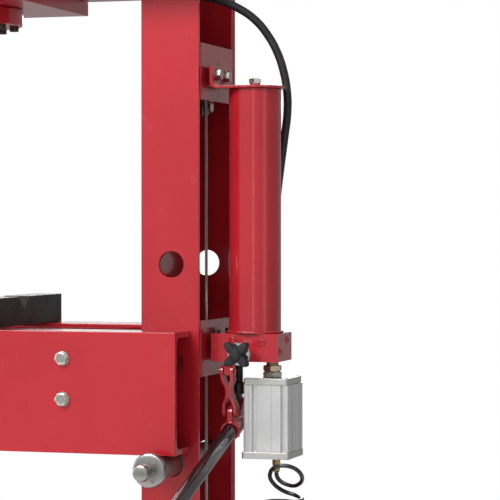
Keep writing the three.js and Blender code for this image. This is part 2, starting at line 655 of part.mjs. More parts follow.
function lever(parent) {
  const { radius, bore, length } = SOCKET;
  const tube = onSocketAxis([[0, -length], [radius, -length], [radius, 0], [0, 0]], 28);
  const hollow = onSocketAxis([[0, -length + 8], [bore, -length + 8], [bore, 14], [0, 14]], 20);
  const ear = plateX([[-47, 877], [-45, 883.5], [-41.5, 887], [-38, 888], [-34.5, 887], [-31, 883.5], [-12, 866],
    [-18, 852], [-44, 850], [-48, 863]].reverse(), -4.5, 4.5);
  let body = join(tube, ear, bar('x', 4, -14, 14, [PIVOT_B.y, PIVOT_B.z], 16));
  const { y, z } = PIVOT_C;
  for (const inner of [-9.5, 5.5]) {
    const fork = [[y - 8, z], [y - 5, z + 6], [y, z + 8], [y + 5, z + 6], [y + 8, z], [y + 8.5, 872], [-10, 862],
      [-24, 864]];
    body = join(body, plateX(fork.reverse(), inner, inner + 4));
  }
  body = join(body, bar('x', 3, -12, 12, [y, z], 16));
  piece(parent, 'lever_socket', cut(body, hollow), RED).position.x = LEVER_X;

  const inside = length - 8 - 2;
  piece(parent, 'pump_handle', onSocketAxis([
    [0, -inside], [HANDLE_RADIUS, -inside], [HANDLE_RADIUS, HANDLE_REACH - 4], [HANDLE_RADIUS - 4, HANDLE_REACH],
    [0, HANDLE_REACH],
  ], 28), BLACK).position.x = LEVER_X;
}

function plunger(parent) {
  const { y, z } = PIVOT_C;
  const stem = turned('z', [
    [0, z + 14], [9, z + 14], [9, z + 32], [6.5, z + 34], [6.5, 998], [0, 998],
  ], [0, y], 24);
  const outline = [[y - 9, z + 15], [y - 9, z], [y - 6.4, z - 6.4], [y, z - 9], [y + 6.4, z - 6.4], [y + 9, z],
    [y + 9, z + 15]];
  const slot = new THREE.Shape();
  slot.absarc(y - 2.8, z, 4.1, Math.PI / 2, (3 * Math.PI) / 2, false);
  slot.absarc(y + 2.8, z, 4.1, -Math.PI / 2, Math.PI / 2, false);
  const body = cut(join(stem, plateX(outline, -3.5, 3.5)), plateX(slot, -10, 10));
  piece(parent, 'plunger', body, DARK_STEEL).position.x = LEVER_X;
}

// ---------------------------------------------------------------- air motor
// The extrusion's outline about the middle of its section, with two grooves in each face.
function motorSection() {
  const corner = 1.5;
  const points = [];
  for (let turn = 0; turn < 4; turn += 1) {
    const sides = turn % 2 ? [MOTOR_DEPTH, MOTOR_WIDTH] : [MOTOR_WIDTH, MOTOR_DEPTH];
    const [out, across] = sides.map((size) => size / 2);
    const face = [[out, corner - across]];
    for (const [from, to] of MOTOR_GROOVES) {
      face.push([out, from], [out - GROOVE_DEPTH, from], [out - GROOVE_DEPTH, to], [out, to]);
    }
    face.push([out, across - corner]);
    const middle = new THREE.Vector2();
    for (const [x, y] of face) points.push(new THREE.Vector2(x, y).rotateAround(middle, (turn * Math.PI) / 2));
  }
  return new THREE.Shape(points);
}

function airMotor(parent) {
  const at = [MOTOR_X, PUMP_Y];
  const nutTop = 957;
  piece(parent, 'upper_hex_nut', join(
    hexBar('z', 28.6, 947, nutTop, at),
    bar('z', 11, nutTop - 1, BLOCK_BOTTOM - GAP, at, 24),
  ), BRASS);
  piece(parent, 'lower_hex_nut', hexBar('z', 31.8, 937.3, 946.7, at), STEEL);

  const cap = (name, [x0, x1], [y0, y1], z0, z1) => {
    const corner = 3;
    const plan = new THREE.Shape([
      [x1, y0 + corner], [x1, y1 - corner], [x1 - corner, y1], [x0 + corner, y1],
      [x0, y1 - corner], [x0, y0 + corner], [x0 + corner, y0], [x1 - corner, y0],
    ].map(([x, y]) => new THREE.Vector2(x, y)));
    piece(parent, name, prismZ(plan, z0, z1), ALUMINIUM);
  };
  const bodyTop = MOTOR_Z + MOTOR_HEIGHT;
  cap('motor_cap_top', [513.8, 590], [-60, 27], bodyTop + GAP, 937);
  piece(parent, 'air_motor_body', prismZ(motorSection(), MOTOR_Z, bodyTop, [MOTOR_X, MOTOR_Y]), ALUMINIUM);
  cap('motor_cap_bottom', [511.2, 592.5], [-61.5, 29], 804, MOTOR_Z - GAP);

  piece(parent, 'air_inlet_fitting', join(
    hexBar('z', 12, 790, 804 - GAP, [558, -15]),
    turned('z', [[0, 779], [5, 779], [6, 781], [6, 791], [0, 791]], [558, -15], 20),
  ), BRASS);
}

// ---------------------------------------------------------------- air line
const AIR_RADIUS = 3.5;
const AIR_COIL = { x: 579, y: -43, radius: 30, top: 736, bottom: 690 };
const AIR_LEAD = [
  [558, -15, 778.2], [558.3, -15, 774.5], [560.5, -15, 768.5], [566, -15, 763], [577, -17, 758.5],
  [590, -22, 757.5], [602, -31, 762], [610, -42, 770], [612, -53, 779], [608, -63, 788], [599, -70, 794],
  [588, -73, 796], [576, -71, 794.5], [566, -64, 789], [559, -54, 781], [555.5, -43, 772], [557, -31, 762],
  [563, -21, 753], [574, -15, 746], [588, -15, 742], [598, -20, 739.5], [605, -28, 738], [609, -39, 736.6],
];
const AIR_TAIL = [
  [549, -43, 688], [549, -42.6, 685.5], [547, -38, 680], [541, -31, 674], [532, -25, 668],
  [525, -21.5, 662], [521.2, -20, 657], [521, -20, 652.6],
];

function airLine(parent) {
  piece(parent, 'air_hose_lead', hose(AIR_LEAD, AIR_RADIUS, 8, 40), BLACK);
  const { x, y, radius, top, bottom } = AIR_COIL;
  const [outer, inner] = [radius + AIR_RADIUS, radius - AIR_RADIUS];
  piece(parent, 'air_hose_coil', ring('z', outer, inner, bottom, top - AIR_RADIUS, [x, y], 24), BLACK);
  piece(parent, 'air_hose_tail', hose(AIR_TAIL, AIR_RADIUS, 8, 10), BLACK);
}

function airValve(parent) {
  const half = CHANNEL_DEPTH / 2;
  const back = UPRIGHT_EDGE + GAP;
  piece(parent, 'valve_plate', box(back, back + 6, -half, half, 590, 660), RED);
  const body = join(
    box(back + 6 + GAP, 536, -36, -4, 606, 640),
    bar('z', 8, 639, 648, [521, -20], 20),
    bar('z', 5, 647, 652, [521, -20], 16),
    box(528, 548, -32, -28, 626, 646),
    box(528, 548, -12, -8, 626, 646),
    bar('y', 2.5, -35, -5, [542, 640], 12),
    hexBar('y', 15, -5, 14, [490, 622]),
  );
  piece(parent, 'air_valve', body, ALUMINIUM);
  const paddle = plateY([[-4, 5], [4, 5], [5, 0], [5, -60], [12, -78], [9, -80], [1, -62], [-1, -8], [-4, -3]],
    -27.5, -12.5);
  piece(parent, 'valve_lever', cut(paddle, bar('y', 2.8, -40, 0, [0, 0], 12)), BLACK).position.set(542, 0, 640);
}

// ---------------------------------------------------------------- hydraulic hose
const HOSE_RADIUS = 7;
const HOSE_ROUTE = [
  [538, 38, 1032.3], [538, 38, 1050], [538, 36.5, 1085], [538.5, 33, 1130], [541, 29, 1180], [546, 26.5, 1230],
  [553, 25.5, 1285], [560, 25, 1335], [565.5, 25, 1380], [565, 24, 1415], [559, 22, 1450], [549, 20, 1480],
  [534, 17, 1508], [514, 13, 1533], [487, 8, 1553], [455, 3, 1567], [420, 1, 1576], [385, 0, 1581],
  [355, 0, 1583.5], [322, 0, 1587], [290, 0, 1594], [258, 0, 1606], [226, 0, 1621], [195, 0, 1637], [164, 0, 1650],
  [135, 0, 1658], [112, 0, 1660], [98.3, 0, PORT_Z],
];

function hydraulicHose(parent) {
  const rear = BLOCK_REAR + GAP;
  const [x, y, z] = [538, 38, 988];
  piece(parent, 'hose_elbow', join(
    hexBar('y', 19, rear, rear + 7, [x, z]),
    bar('y', 7.5, rear + 6, y, [x, z], 20),
    turned('z', [
      [0, z - 7.5], [7.5, z - 7.5], [7.5, z + 12], [9.5, z + 13], [9.5, z + 44], [0, z + 44],
    ], [x, y], 20),
  ), STEEL);
  piece(parent, 'hydraulic_hose', hose(HOSE_ROUTE, HOSE_RADIUS, 8, 44), RUBBER);
  const end = CYLINDER_RADIUS + 10 + GAP;
  piece(parent, 'hose_end_fitting', join(
    hexBar('x', 19, end, end + 8, [0, PORT_Z]),
    bar('x', 9.5, end + 7, 98, [0, PORT_Z], 20),
  ), STEEL);
}

// ---------------------------------------------------------------- the press
const press = new THREE.Group();
upright(press, 'upright_right', 1);
upright(press, 'upright_left', -1);
foot(press, 'foot_right', 1);
foot(press, 'foot_left', -1);
baseTie(press);
crown(press);
ram(press);
gauge(press);
bed(press);
sheave(press);
ropes(press);
winch(press);
plates(press);
pumpBlock(press);
reservoir(press);
releaseValve(press);
swingLink(press);
lever(press);
plunger(press);
airMotor(press);
airValve(press);

// The origin: bottom centre of everything but the hoses.
press.updateMatrixWorld(true);
const bounds = new THREE.Box3().setFromObject(press, true);
airLine(press);
hydraulicHose(press);
press.position.set(-(bounds.min.x + bounds.max.x) / 2, -(bounds.min.y + bounds.max.y) / 2, -bounds.min.z);

export default press;
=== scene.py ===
"""The looks of an H-frame hydraulic shop press with an air-driven pump on its right upright.

Sizes are millimetres from the middle of the frame at floor level, X along the bed, Y from front
to rear and Z up. A piece is brought into the packed model's metres when its mesh is finished.
"""

import json
import logging
import math
from dataclasses import dataclass
from enum import Enum
from typing import Callable, Iterable, Sequence

import bmesh
import bpy
from mathutils import Matrix, Vector

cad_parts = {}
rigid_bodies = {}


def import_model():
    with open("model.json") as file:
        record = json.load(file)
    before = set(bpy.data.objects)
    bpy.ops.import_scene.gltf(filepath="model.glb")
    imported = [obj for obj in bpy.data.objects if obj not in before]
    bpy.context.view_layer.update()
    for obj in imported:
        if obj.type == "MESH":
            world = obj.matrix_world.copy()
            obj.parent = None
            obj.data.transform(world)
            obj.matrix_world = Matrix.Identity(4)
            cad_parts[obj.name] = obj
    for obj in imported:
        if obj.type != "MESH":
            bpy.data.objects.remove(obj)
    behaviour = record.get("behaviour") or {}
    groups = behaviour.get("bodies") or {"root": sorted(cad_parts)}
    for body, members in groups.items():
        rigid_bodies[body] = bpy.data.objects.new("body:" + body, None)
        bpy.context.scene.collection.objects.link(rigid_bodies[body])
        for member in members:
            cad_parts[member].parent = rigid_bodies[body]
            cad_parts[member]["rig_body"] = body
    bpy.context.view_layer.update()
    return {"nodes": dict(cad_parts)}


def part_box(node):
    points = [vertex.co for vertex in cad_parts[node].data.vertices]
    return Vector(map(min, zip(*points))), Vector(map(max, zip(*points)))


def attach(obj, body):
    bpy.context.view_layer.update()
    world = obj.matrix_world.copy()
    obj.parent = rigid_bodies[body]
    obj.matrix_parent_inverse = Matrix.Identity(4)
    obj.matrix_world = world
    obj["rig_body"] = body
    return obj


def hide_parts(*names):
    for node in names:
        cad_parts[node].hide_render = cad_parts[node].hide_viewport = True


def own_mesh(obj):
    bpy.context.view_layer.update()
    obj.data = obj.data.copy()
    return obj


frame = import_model()

LOG = logging.getLogger("press")
MM = 0.001
Point = Sequence[float]
Outline = Sequence[tuple[float, float]]
X_AXIS, Y_AXIS, Z_AXIS = (1.0, 0.0, 0.0), (0.0, 1.0, 0.0), (0.0, 0.0, 1.0)
SIDES = (("right", 1), ("left", -1))
SAME_PLACE = 1e-6  # closer points than this are one
FLAT = math.radians(0.6)  # faces that meet at less than this are one
PULLEY_X, PULLEY_Z = 290.4, 861.3  # the bed's pulleys
AXLE_END = ((0, 13.4), (8.8, 13.4), (9, 13.8), (9, 16.4), (8.2, 17.0), (0, 17.0))

_low, _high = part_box("ram_rod")
MIDDLE = Vector(((_low.x + _high.x) / 2, (_low.y + _high.y) / 2, 0.0))


def placed(name: str, data: bpy.types.ID) -> bpy.types.Object:
    """Adds an object to the scene.

    Args:
        name: the object's name.
        data: its mesh, curve, light or camera.

    Returns:
        The object.
    """
    made = bpy.data.objects.new(name, data)
    bpy.context.scene.collection.objects.link(made)
    return made


# ---------------------------------------------------------------- shader arithmetic
class Value:
    """A socket that takes part in Python arithmetic, adding its Math nodes as it goes."""

    def __init__(self, shader: "Shader", socket: bpy.types.NodeSocket) -> None:
        """Wraps an output socket of a shader's tree."""
        self.shader = shader
        self.socket = socket

    def math(self, operation: str, *terms: object) -> "Value":
        """Adds one Math node over these terms.

        Args:
            operation: the Math node's operation.
            *terms: numbers or values, in the node's order.

        Returns:
            The node's result.
        """
        return self.shader.node("ShaderNodeMath", {"operation": operation}, dict(enumerate(terms)))

    def __add__(self, other: object) -> "Value":
        """Adds."""
        return self.math("ADD", self, other)

    def __sub__(self, other: object) -> "Value":
        """Subtracts."""
        return self.math("SUBTRACT", self, other)

    def __rsub__(self, other: object) -> "Value":
        """Subtracts this from a number."""
        return self.math("SUBTRACT", other, self)

    def __mul__(self, other: object) -> "Value":
        """Multiplies."""
        return self.math("MULTIPLY", self, other)

    __radd__ = __add__
    __rmul__ = __mul__

    def above(self, threshold: float, softness: float) -> "Value":
        """A soft step: 0 below the threshold, 1 beyond threshold + softness.

        Args:
            threshold: where the step begins.
            softness: the width over which it rises.

        Returns:
            The step, from 0 to 1.
        """
        return self.shader.node(
            "ShaderNodeMapRange",
            {"interpolation_type": "SMOOTHSTEP"},
            {0: self, 1: threshold, 2: threshold + softness},
        )


class Shader:
    """The node tree of a material or a world, built from a few kinds of call."""

    def __init__(self, owner: bpy.types.Material | bpy.types.World) -> None:
        """Starts with an empty tree.

        Args:
            owner: the new material or world that the tree belongs to.
        """
        self.owner = owner
        self.owner.use_nodes = True
        self.tree = self.owner.node_tree
        self.tree.nodes.clear()

    def node(
        self, kind: str, settings: dict | None = None, inputs: dict | None = None, output: int | str = 0
    ) -> Value:
        """Adds a node.

        Args:
            kind: the node's type name.
            settings: its properties, set before its sockets.
            inputs: socket names or numbers with their values or links.
            output: the socket to hand back.

        Returns:
            That output, ready for arithmetic.
        """
        made = self.tree.nodes.new(kind)
        for key, value in (settings or {}).items():
            setattr(made, key, value)
        for key, value in (inputs or {}).items():
            if isinstance(value, Value):
                self.tree.links.new(value.socket, made.inputs[key])
            else:
                made.inputs[key].default_value = value
        return Value(self, made.outputs[output])

    def place(self, stretch: Point = (1.0, 1.0, 1.0)) -> Value:
        """The surface's own place in metres, scaled along the axes."""
        where = self.node("ShaderNodeTexCoord", output="Object")
        return self.node("ShaderNodeVectorMath", {"operation": "MULTIPLY"}, {0: where, 1: tuple(stretch)})

    def noise(self, scale: float, detail: float = 2.0, stretch: Point = (1.0, 1.0, 1.0)) -> Value:
        """Smooth noise over the surface.

        Args:
            scale: features per metre.
            detail: octaves of finer noise.
            stretch: a factor for each axis, small along a grain.

        Returns:
            The noise, about 0.5 on average.
        """
        inputs = {"Vector": self.place(stretch), "Scale": scale, "Detail": detail}
        return self.node("ShaderNodeTexNoise", None, inputs)

    def mix(self, amount: object, first: object, second: object) -> Value:
        """Blends two colours.

        Args:
            amount: 0 for the first colour, 1 for the second.
            first: a colour or a link.
            second: a colour or a link.

        Returns:
            The blended colour.
        """
        inputs = {0: amount, 6: colour(first), 7: colour(second)}
        return self.node("ShaderNodeMix", {"data_type": "RGBA"}, inputs, output=2)

    def bump(self, height: Value, distance: float, strength: float = 1.0) -> Value:
        """Turns a height into a normal.

        Args:
            height: the relief, from 0 to 1.
            distance: what a height of 1 stands proud, in metres.
            strength: how much of it shows.

        Returns:
            The bent normal.
        """
        inputs = {"Height": height, "Distance": distance, "Strength": strength}
        return self.node("ShaderNodeBump", None, inputs)

    def surface(self, **inputs: object) -> bpy.types.Material:
        """Ends the material with a Principled shader.

        Args:
            **inputs: the shader's sockets, with underscores for spaces.

        Returns:
            The finished material.
        """
        sockets = {key.replace("_", " "): value for key, value in inputs.items()}
        sockets["Base Color"] = colour(sockets["Base Color"])
        shader = self.node("ShaderNodeBsdfPrincipled", None, sockets)
        self.end("ShaderNodeOutputMaterial", shader)
        return self.owner

    def end(self, kind: str, shader: Value) -> None:
        """Joins a shader to an output node of that kind."""
        made = self.tree.nodes.new(kind)
        self.tree.links.new(shader.socket, made.inputs["Surface"])


def colour(value: object) -> object:
    """A plain colour gets its alpha, and a link stays as it is."""
    return value if isinstance(value, Value) else (*tuple(value)[:3], 1.0)


# ---------------------------------------------------------------- finishes
class Grain(Enum):
    """The direction in which a metal was drawn, ground or turned, as a stretch for its noise."""

    ALONG_Z = (1.0, 1.0, 0.04)
    AROUND_Z = (0.06, 0.06, 1.0)
    AROUND_Y = (0.06, 1.0, 0.06)
    NONE = (1.0, 1.0, 1.0)


@dataclass(frozen=True)
class Finish:
    """A finish of the press: a material and the record's slot that it stands for, if it has one."""

    name: str
    slot: str

    def material(self) -> bpy.types.Material:
        """The finish's material, built the first time that it is asked for."""
        return bpy.data.materials.get(self.name) or self.build(Shader(bpy.data.materials.new(self.name)))

    def build(self, shader: Shader) -> bpy.types.Material:
        """Builds the material; each kind of finish does it in its own way."""
        raise NotImplementedError


@dataclass(frozen=True)
class Enamel(Finish):
    """Sprayed gloss enamel over steel, with orange peel, a little dust and the odd chip."""

    tone: Point
    shade: Point
    roughness: float = 0.2
    coat: float = 0.55
    dust: float = 0.5
    chips: float = 0.84
    peel: float = 0.00012

    def build(self, shader: Shader) -> bpy.types.Material:
        """Builds the enamel.

        Args:
            shader: an empty material.

        Returns:
            The finished material.
        """
        cloud = shader.noise(5.0, 3.0)
        streak = shader.noise(70.0, 4.0, (1.0, 1.0, 0.12))
        grime = shader.noise(24.0, 6.0).above(0.52, 0.3) * streak.above(0.42, 0.3) * self.dust
        chip = shader.noise(130.0, 5.0).above(self.chips, 0.012) * shader.noise(9.0, 1.0).above(0.5, 0.1)
        base = shader.mix(cloud.above(0.35, 0.4), self.tone, self.shade)
        base = shader.mix(grime * 0.35, base, (0.16, 0.11, 0.09))
        base = shader.mix(chip, base, (0.12, 0.11, 0.1))
        peel = shader.noise(330.0, 1.0) + shader.noise(38.0, 2.0) * 2.2 - chip * 1.5
        return shader.surface(
            Base_Color=base,
            Roughness=self.roughness + grime * 0.4 + streak * 0.06 + chip * 0.25,
            Metallic=chip * 0.8,
            Coat_Weight=self.coat - grime * 0.4 - chip * 0.4,
            Coat_Roughness=0.07,
            Normal=shader.bump(peel, self.peel),
        )


@dataclass(frozen=True)
class Metal(Finish):
    """Bare or plated metal with a grain, faint tarnish and handling marks."""

    tone: Point
    tarnish: Point
    roughness: float = 0.3
    grain: Grain = Grain.NONE
    fineness: float = 900.0
    depth: float = 0.00004
    spots: float = 0.6
    metallic: float = 1.0

    def build(self, shader: Shader) -> bpy.types.Material:
        """Builds the metal.

        Args:
            shader: an empty material.

        Returns:
            The finished material.
        """
        lines = shader.noise(self.fineness, 2.0, self.grain.value)
        patch = shader.noise(26.0, 4.0).above(0.46, 0.26)
        spot = shader.noise(160.0, 5.0).above(self.spots, 0.08)
        base = shader.mix(patch * 0.45, self.tone, self.tarnish)
        base = shader.mix(spot * 0.5, base, tuple(part * 0.55 for part in self.tarnish))
        return shader.surface(
            Base_Color=base,
            Roughness=self.roughness + (lines - 0.5) * 0.14 + patch * 0.1 + spot * 0.12,
            Metallic=self.metallic - spot * 0.25,
            Normal=shader.bump(lines + spot * 0.4, self.depth),
        )


@dataclass(frozen=True)
class Moulded(Finish):
    """Moulded plastic or rubber with a fine surface grain and dust in it."""

    tone: Point
    worn: Point
    roughness: float = 0.45
    grit: float = 1400.0
    depth: float = 0.00005
    coat: float = 0.0

    def build(self, shader: Shader) -> bpy.types.Material:
        """Builds the moulding.

        Args:
            shader: an empty material.

        Returns:
            The finished material.
        """
        grain = shader.noise(self.grit, 2.0)
        wear = shader.noise(34.0, 5.0).above(0.48, 0.24)
        scuff = shader.noise(420.0, 3.0, (0.2, 1.0, 1.0)).above(0.62, 0.1)
        base = shader.mix(wear * 0.5 + scuff * 0.25, self.tone, self.worn)
        return shader.surface(
            Base_Color=base,
            Roughness=self.roughness + wear * 0.14 + (grain - 0.5) * 0.1,
            Coat_Weight=self.coat,
            Coat_Roughness=0.12,
            Normal=shader.bump(grain + scuff * 0.5, self.depth),
        )


@dataclass(frozen=True)
class Ground(Finish):
    """The studio's pale floor."""

    tone: Point

    def build(self, shader: Shader) -> bpy.types.Material:
        """Builds the floor's finish.

        Args:
            shader: an empty material.

        Returns:
            The finished material.
        """
        cloud = shader.noise(1.6, 4.0)
        speck = shader.noise(120.0, 3.0)
        darker = tuple(part * 0.94 for part in self.tone)
        base = shader.mix(cloud, self.tone, darker)
        height = shader.bump(speck, 0.0002)
        return shader.surface(Base_Color=base, Roughness=0.6 + speck * 0.15, Normal=height)


@dataclass(frozen=True)
class Lens(Finish):
    """Clear glass over the gauge's dial."""

    def build(self, shader: Shader) -> bpy.types.Material:
        """Builds the glass.

        Args:
            shader: an empty material.

        Returns:
            The finished material.
        """
        smear = shader.noise(60.0, 3.0)
        return shader.surface(
            Base_Color=(1.0, 1.0, 1.0), Roughness=smear * 0.03, Transmission_Weight=1.0, IOR=1.3
        )


RED = Enamel("red_enamel", "red_paint", (0.43, 0.013, 0.022), (0.37, 0.011, 0.019))
RED_BEAD = Enamel("red_enamel_on_weld", "red_paint", (0.42, 0.013, 0.022), (0.34, 0.011, 0.019), peel=0.0003)
DARK_STEEL = Metal("oiled_steel", "dark_steel", (0.09, 0.088, 0.086), (0.05, 0.042, 0.036), 0.42)
SCALE = Metal(
    "mill_scale", "dark_steel", (0.075, 0.078, 0.085), (0.11, 0.07, 0.05), 0.5, Grain.NONE, 260.0, 0.00012,
              0.56
)
STEEL = Metal("turned_steel", "steel", (0.36, 0.35, 0.34), (0.2, 0.18, 0.16), 0.3, Grain.AROUND_Y)
STEEL_UP = Metal("turned_steel_upright", "steel", (0.36, 0.35, 0.34), (0.2, 0.18, 0.16), 0.3, Grain.AROUND_Z)
ZINC = Metal("zinc_plate", "zinc", (0.62, 0.6, 0.55), (0.4, 0.37, 0.31), 0.24, Grain.NONE, 500.0)
YELLOW_ZINC = Metal("yellow_zinc", "brass", (0.62, 0.53, 0.38), (0.42, 0.32, 0.2), 0.26, Grain.NONE, 500.0)
ALUMINIUM = Metal(
    "drawn_aluminium", "aluminium", (0.82, 0.82, 0.82), (0.66, 0.66, 0.66), 0.36, Grain.ALONG_Z, 1500.0,
                  0.00003, 0.7
)
CAST = Metal(
    "blasted_aluminium", "aluminium", (0.64, 0.64, 0.62), (0.5, 0.5, 0.48), 0.42, Grain.NONE, 1500.0, 0.00005,
             0.68
)
CHROME = Metal("chrome", "chrome", (0.8, 0.8, 0.81), (0.7, 0.7, 0.7), 0.06, Grain.AROUND_Z, 900.0, 0.00001,
               0.75)
BRASS = Metal("brass", "brass", (0.72, 0.5, 0.22), (0.42, 0.27, 0.11), 0.25)
BLACK_PLASTIC = Moulded("black_plastic", "black_plastic", (0.016, 0.016, 0.017), (0.05, 0.048, 0.046), 0.34)
GREY_PLASTIC = Moulded("grey_plastic", "black_plastic", (0.12, 0.125, 0.13), (0.2, 0.2, 0.2), 0.4)
BLACK_PAINT = Enamel(
    "black_gloss", "black_paint", (0.008, 0.008, 0.009), (0.012, 0.012, 0.012), 0.16, 0.8, 0.5, 0.8, 0.00006
)
RUBBER = Moulded("hose_rubber", "rubber", (0.014, 0.013, 0.014), (0.045, 0.04, 0.038), 0.38, 900.0, 0.00008)
NYLON = Moulded("air_line_nylon", "rubber", (0.01, 0.01, 0.011), (0.03, 0.03, 0.03), 0.22, 500.0, 0.00002,
                0.5)
ROPE = Metal(
    "wire_rope", "wire_rope", (0.92, 0.89, 0.85), (0.66, 0.61, 0.57), 0.42, Grain.NONE, 1800.0, metallic=0.25
)
DIAL = Moulded("dial_white", "", (0.8, 0.8, 0.77), (0.74, 0.73, 0.7), 0.5)
GLASS = Lens("gauge_glass", "")
FLOOR = Ground("studio_floor", "", (0.8, 0.8, 0.79))


# ---------------------------------------------------------------- mesh making
def cross_frame(axis: Point) -> tuple[Vector, Vector, Vector]:
    """Two directions square to an axis, and the axis.

    Args:
        axis: a direction of any length.

    Returns:
        The first side, the second side and the axis, each of length 1.
    """
    along = Vector(axis).normalized()
    up = Vector(Z_AXIS) if abs(along.z) < 0.9 else Vector(X_AXIS)
    side = (up - along * up.dot(along)).normalized()
    return side, along.cross(side), along


def arc(middle: Point, radius: float, start: float, end: float, steps: int) -> list[tuple[float, float]]:
    """Points along part of a circle in a plane.

    Args:
        middle: the circle's centre.
        radius: its radius.
        start: the first angle in degrees.
        end: the last angle in degrees.
        steps: how many steps to take.

    Returns:
        The points, both ends included.
    """
    angles = [math.radians(start + (end - start) * k / steps) for k in range(steps + 1)]
    return [(middle[0] + radius * math.cos(a), middle[1] + radius * math.sin(a)) for a in angles]


def curve_through(points: Sequence[Point], spacing: float) -> list[Vector]:
    """A smooth line through points, sampled evenly enough for a swept section.

    Args:
        points: the points to pass.
        spacing: the wanted distance between samples.

    Returns:
        The samples, from the first point to the last.
    """
    known = [Vector(point) for point in points]
    ends = [2 * known[0] - known[1], *known, 2 * known[-1] - known[-2]]
    line = []
    for before, first, second, after in zip(ends, ends[1:], ends[2:], ends[3:]):
        count = max(1, round((second - first).length / spacing))
        for k in range(count):
            t = k / count
            line.append(
                0.5
                * (
                    2 * first
                    + (second - before) * t
                    + (2 * before - 5 * first + 4 * second - after) * t * t
                    + (3 * first - before - 3 * second + after) * t**3
                )
            )
    return [*line, known[-1]]


class Shape:
    """Mesh parts in millimetres, gathered into one piece."""

    def __init__(self) -> None:
        """Starts with nothing."""
        self.mesh = bmesh.new()

    def ring(self, points: Iterable[Vector]) -> list[bmesh.types.BMVert]:
        """Adds vertices."""
        return [self.mesh.verts.new(point) for point in points]

    def bridge(self, first: list, second: list, closed: bool = True) -> None:
        """Joins two rings of vertices, or a ring and a single one, with faces.

        Args:
            first: one ring.
            second: the next ring.
            closed: whether the rings run all the way round.
        """
        count = max(len(first), len(second))
        if count == 1:
            return
        for k in range(count if closed else count - 1):
            n = (k + 1) % count
            if len(first) == 1:
                self.mesh.faces.new((first[0], second[n], second[k]))
            elif len(second) == 1:
                self.mesh.faces.new((first[k], first[n], second[0]))
            else:
                self.mesh.faces.new((first[k], first[n], second[n], second[k]))

    def lathe(
        self, profile: Outline, origin: Point, axis: Point = Z_AXIS, segments: int = 72, loop: bool = False
    ) -> "Shape":
        """Turns a profile about an axis.

        Args:
            profile: pairs of radius and distance along the axis; a radius of 0 closes an end.
            origin: the point from which the distances count.
            axis: the axis's direction.
            segments: how many faces go round.
            loop: whether the last point joins the first, as on a ring with a hole.

        Returns:
            This shape.
        """
        side, other, along = cross_frame(axis)
        turns = [2 * math.pi * k / segments for k in range(segments)]
        spokes = [side * math.cos(a) + other * math.sin(a) for a in turns]
        rings = []
        for radius, distance in profile:
            hub = Vector(origin) + along * distance
            rings.append(self.ring([hub] if radius < SAME_PLACE
                                   else [hub + spoke * radius for spoke in spokes]))
        for first, second in zip(rings, rings[1:]):
            self.bridge(first, second)
        if loop:
            self.bridge(rings[-1], rings[0])
        return self

    def rod(self, radius: float, start: float, end: float, origin: Point, axis: Point = Z_AXIS,
            chamfer: float = 0.5, segments: int = 48) -> "Shape":
        """A round bar with chamfered ends.

        Args:
            radius: the bar's radius.
            start: where it starts along the axis.
            end: where it ends.
            origin: the point from which the distances count.
            axis: the axis's direction.
            chamfer: the size of the chamfers.
            segments: how many faces go round.

        Returns:
            This shape.
        """
        profile = [(0, start), (radius - chamfer, start), (radius, start + chamfer),
                   (radius, end - chamfer), (radius - chamfer, end), (0, end)]
        return self.lathe(profile, origin, axis, segments)

    def washer(self, outer: float, inner: float, start: float, end: float, origin: Point,
               axis: Point = Z_AXIS, chamfer: float = 0.3) -> "Shape":
        """A flat ring with softened edges.

        Args:
            outer: the outer radius.
            inner: the hole's radius.
            start: where it starts along the axis.
            end: where it ends.
            origin: the point from which the distances count.
            axis: the axis's direction.
            chamfer: the size of the chamfers.

        Returns:
            This shape.
        """
        profile = [(inner, start), (outer - chamfer, start), (outer, start + chamfer),
                   (outer, end - chamfer), (outer - chamfer, end), (inner, end)]
        return self.lathe(profile, origin, axis, 48, loop=True)

    def hexagon(self, across: float, start: float, end: float, origin: Point, axis: Point = Z_AXIS,
                bore: float = 0.0, turn: float = 0.0) -> "Shape":
        """A hexagon with turned chamfers at both ends, as on a nut or a bolt's head.

        Args:
            across: the width across flats.
            start: where it starts along the axis.
            end: where it ends.
            origin: the point from which the distances count.
            axis: the axis's direction.
            bore: the radius of a hole through it, or 0.
            turn: its turn about the axis, in degrees.

        Returns:
            This shape.
        """
        side, other, along = cross_frame(axis)
        flat = across / 2
        land = 0.94 * flat
        steps = range(0, 360, 5)
        spokes = []
        for degrees in steps:
            angle = math.radians(degrees + turn)
            reach = flat / math.cos(math.radians((degrees + 30) % 60 - 30))
            spokes.append((side * math.cos(angle) + other * math.sin(angle), reach))
        slope = math.tan(math.radians(28))
        hub = Vector(origin)
        rings = [[hub + s * land + along * start for s, _ in spokes]]
        rings.append([hub + s * r + along * (start + (r - land) * slope) for s, r in spokes])
        rings.append([hub + s * r + along * (end - (r - land) * slope) for s, r in spokes])
        rings.append([hub + s * land + along * end for s, _ in spokes])
        for distance, first in ((start, True), (end, False)):
            inside = [hub + along * distance]
            if bore:
                inside = [hub + s * bore + along * distance for s, _ in spokes]
            rings.insert(0 if first else len(rings), inside)
        made = [self.ring(points) for points in rings]
        for first, second in zip(made, made[1:]):
            self.bridge(first, second)
        if bore:
            self.bridge(made[-1], made[0])
        return self

    def prism(self, outline: Outline, origin: Point, u: Point, v: Point, depth: float) -> "Shape":
        """Pushes a flat outline along the direction u x v.

        Args:
            outline: the outline's points in the u, v plane.
            origin: where the plane's own origin lies.
            u: the direction of the first coordinate.
            v: the direction of the second coordinate.
            depth: how far to push.

        Returns:
            This shape.
        """
        u, v = Vector(u).normalized(), Vector(v).normalized()
        push = u.cross(v) * depth
        base = [Vector(origin) + u * a + v * b for a, b in outline]
        low, high = self.ring(base), self.ring([point + push for point in base])
        self.bridge(low, high)
        self.mesh.faces.new(low)
        self.mesh.faces.new(high)
        return self

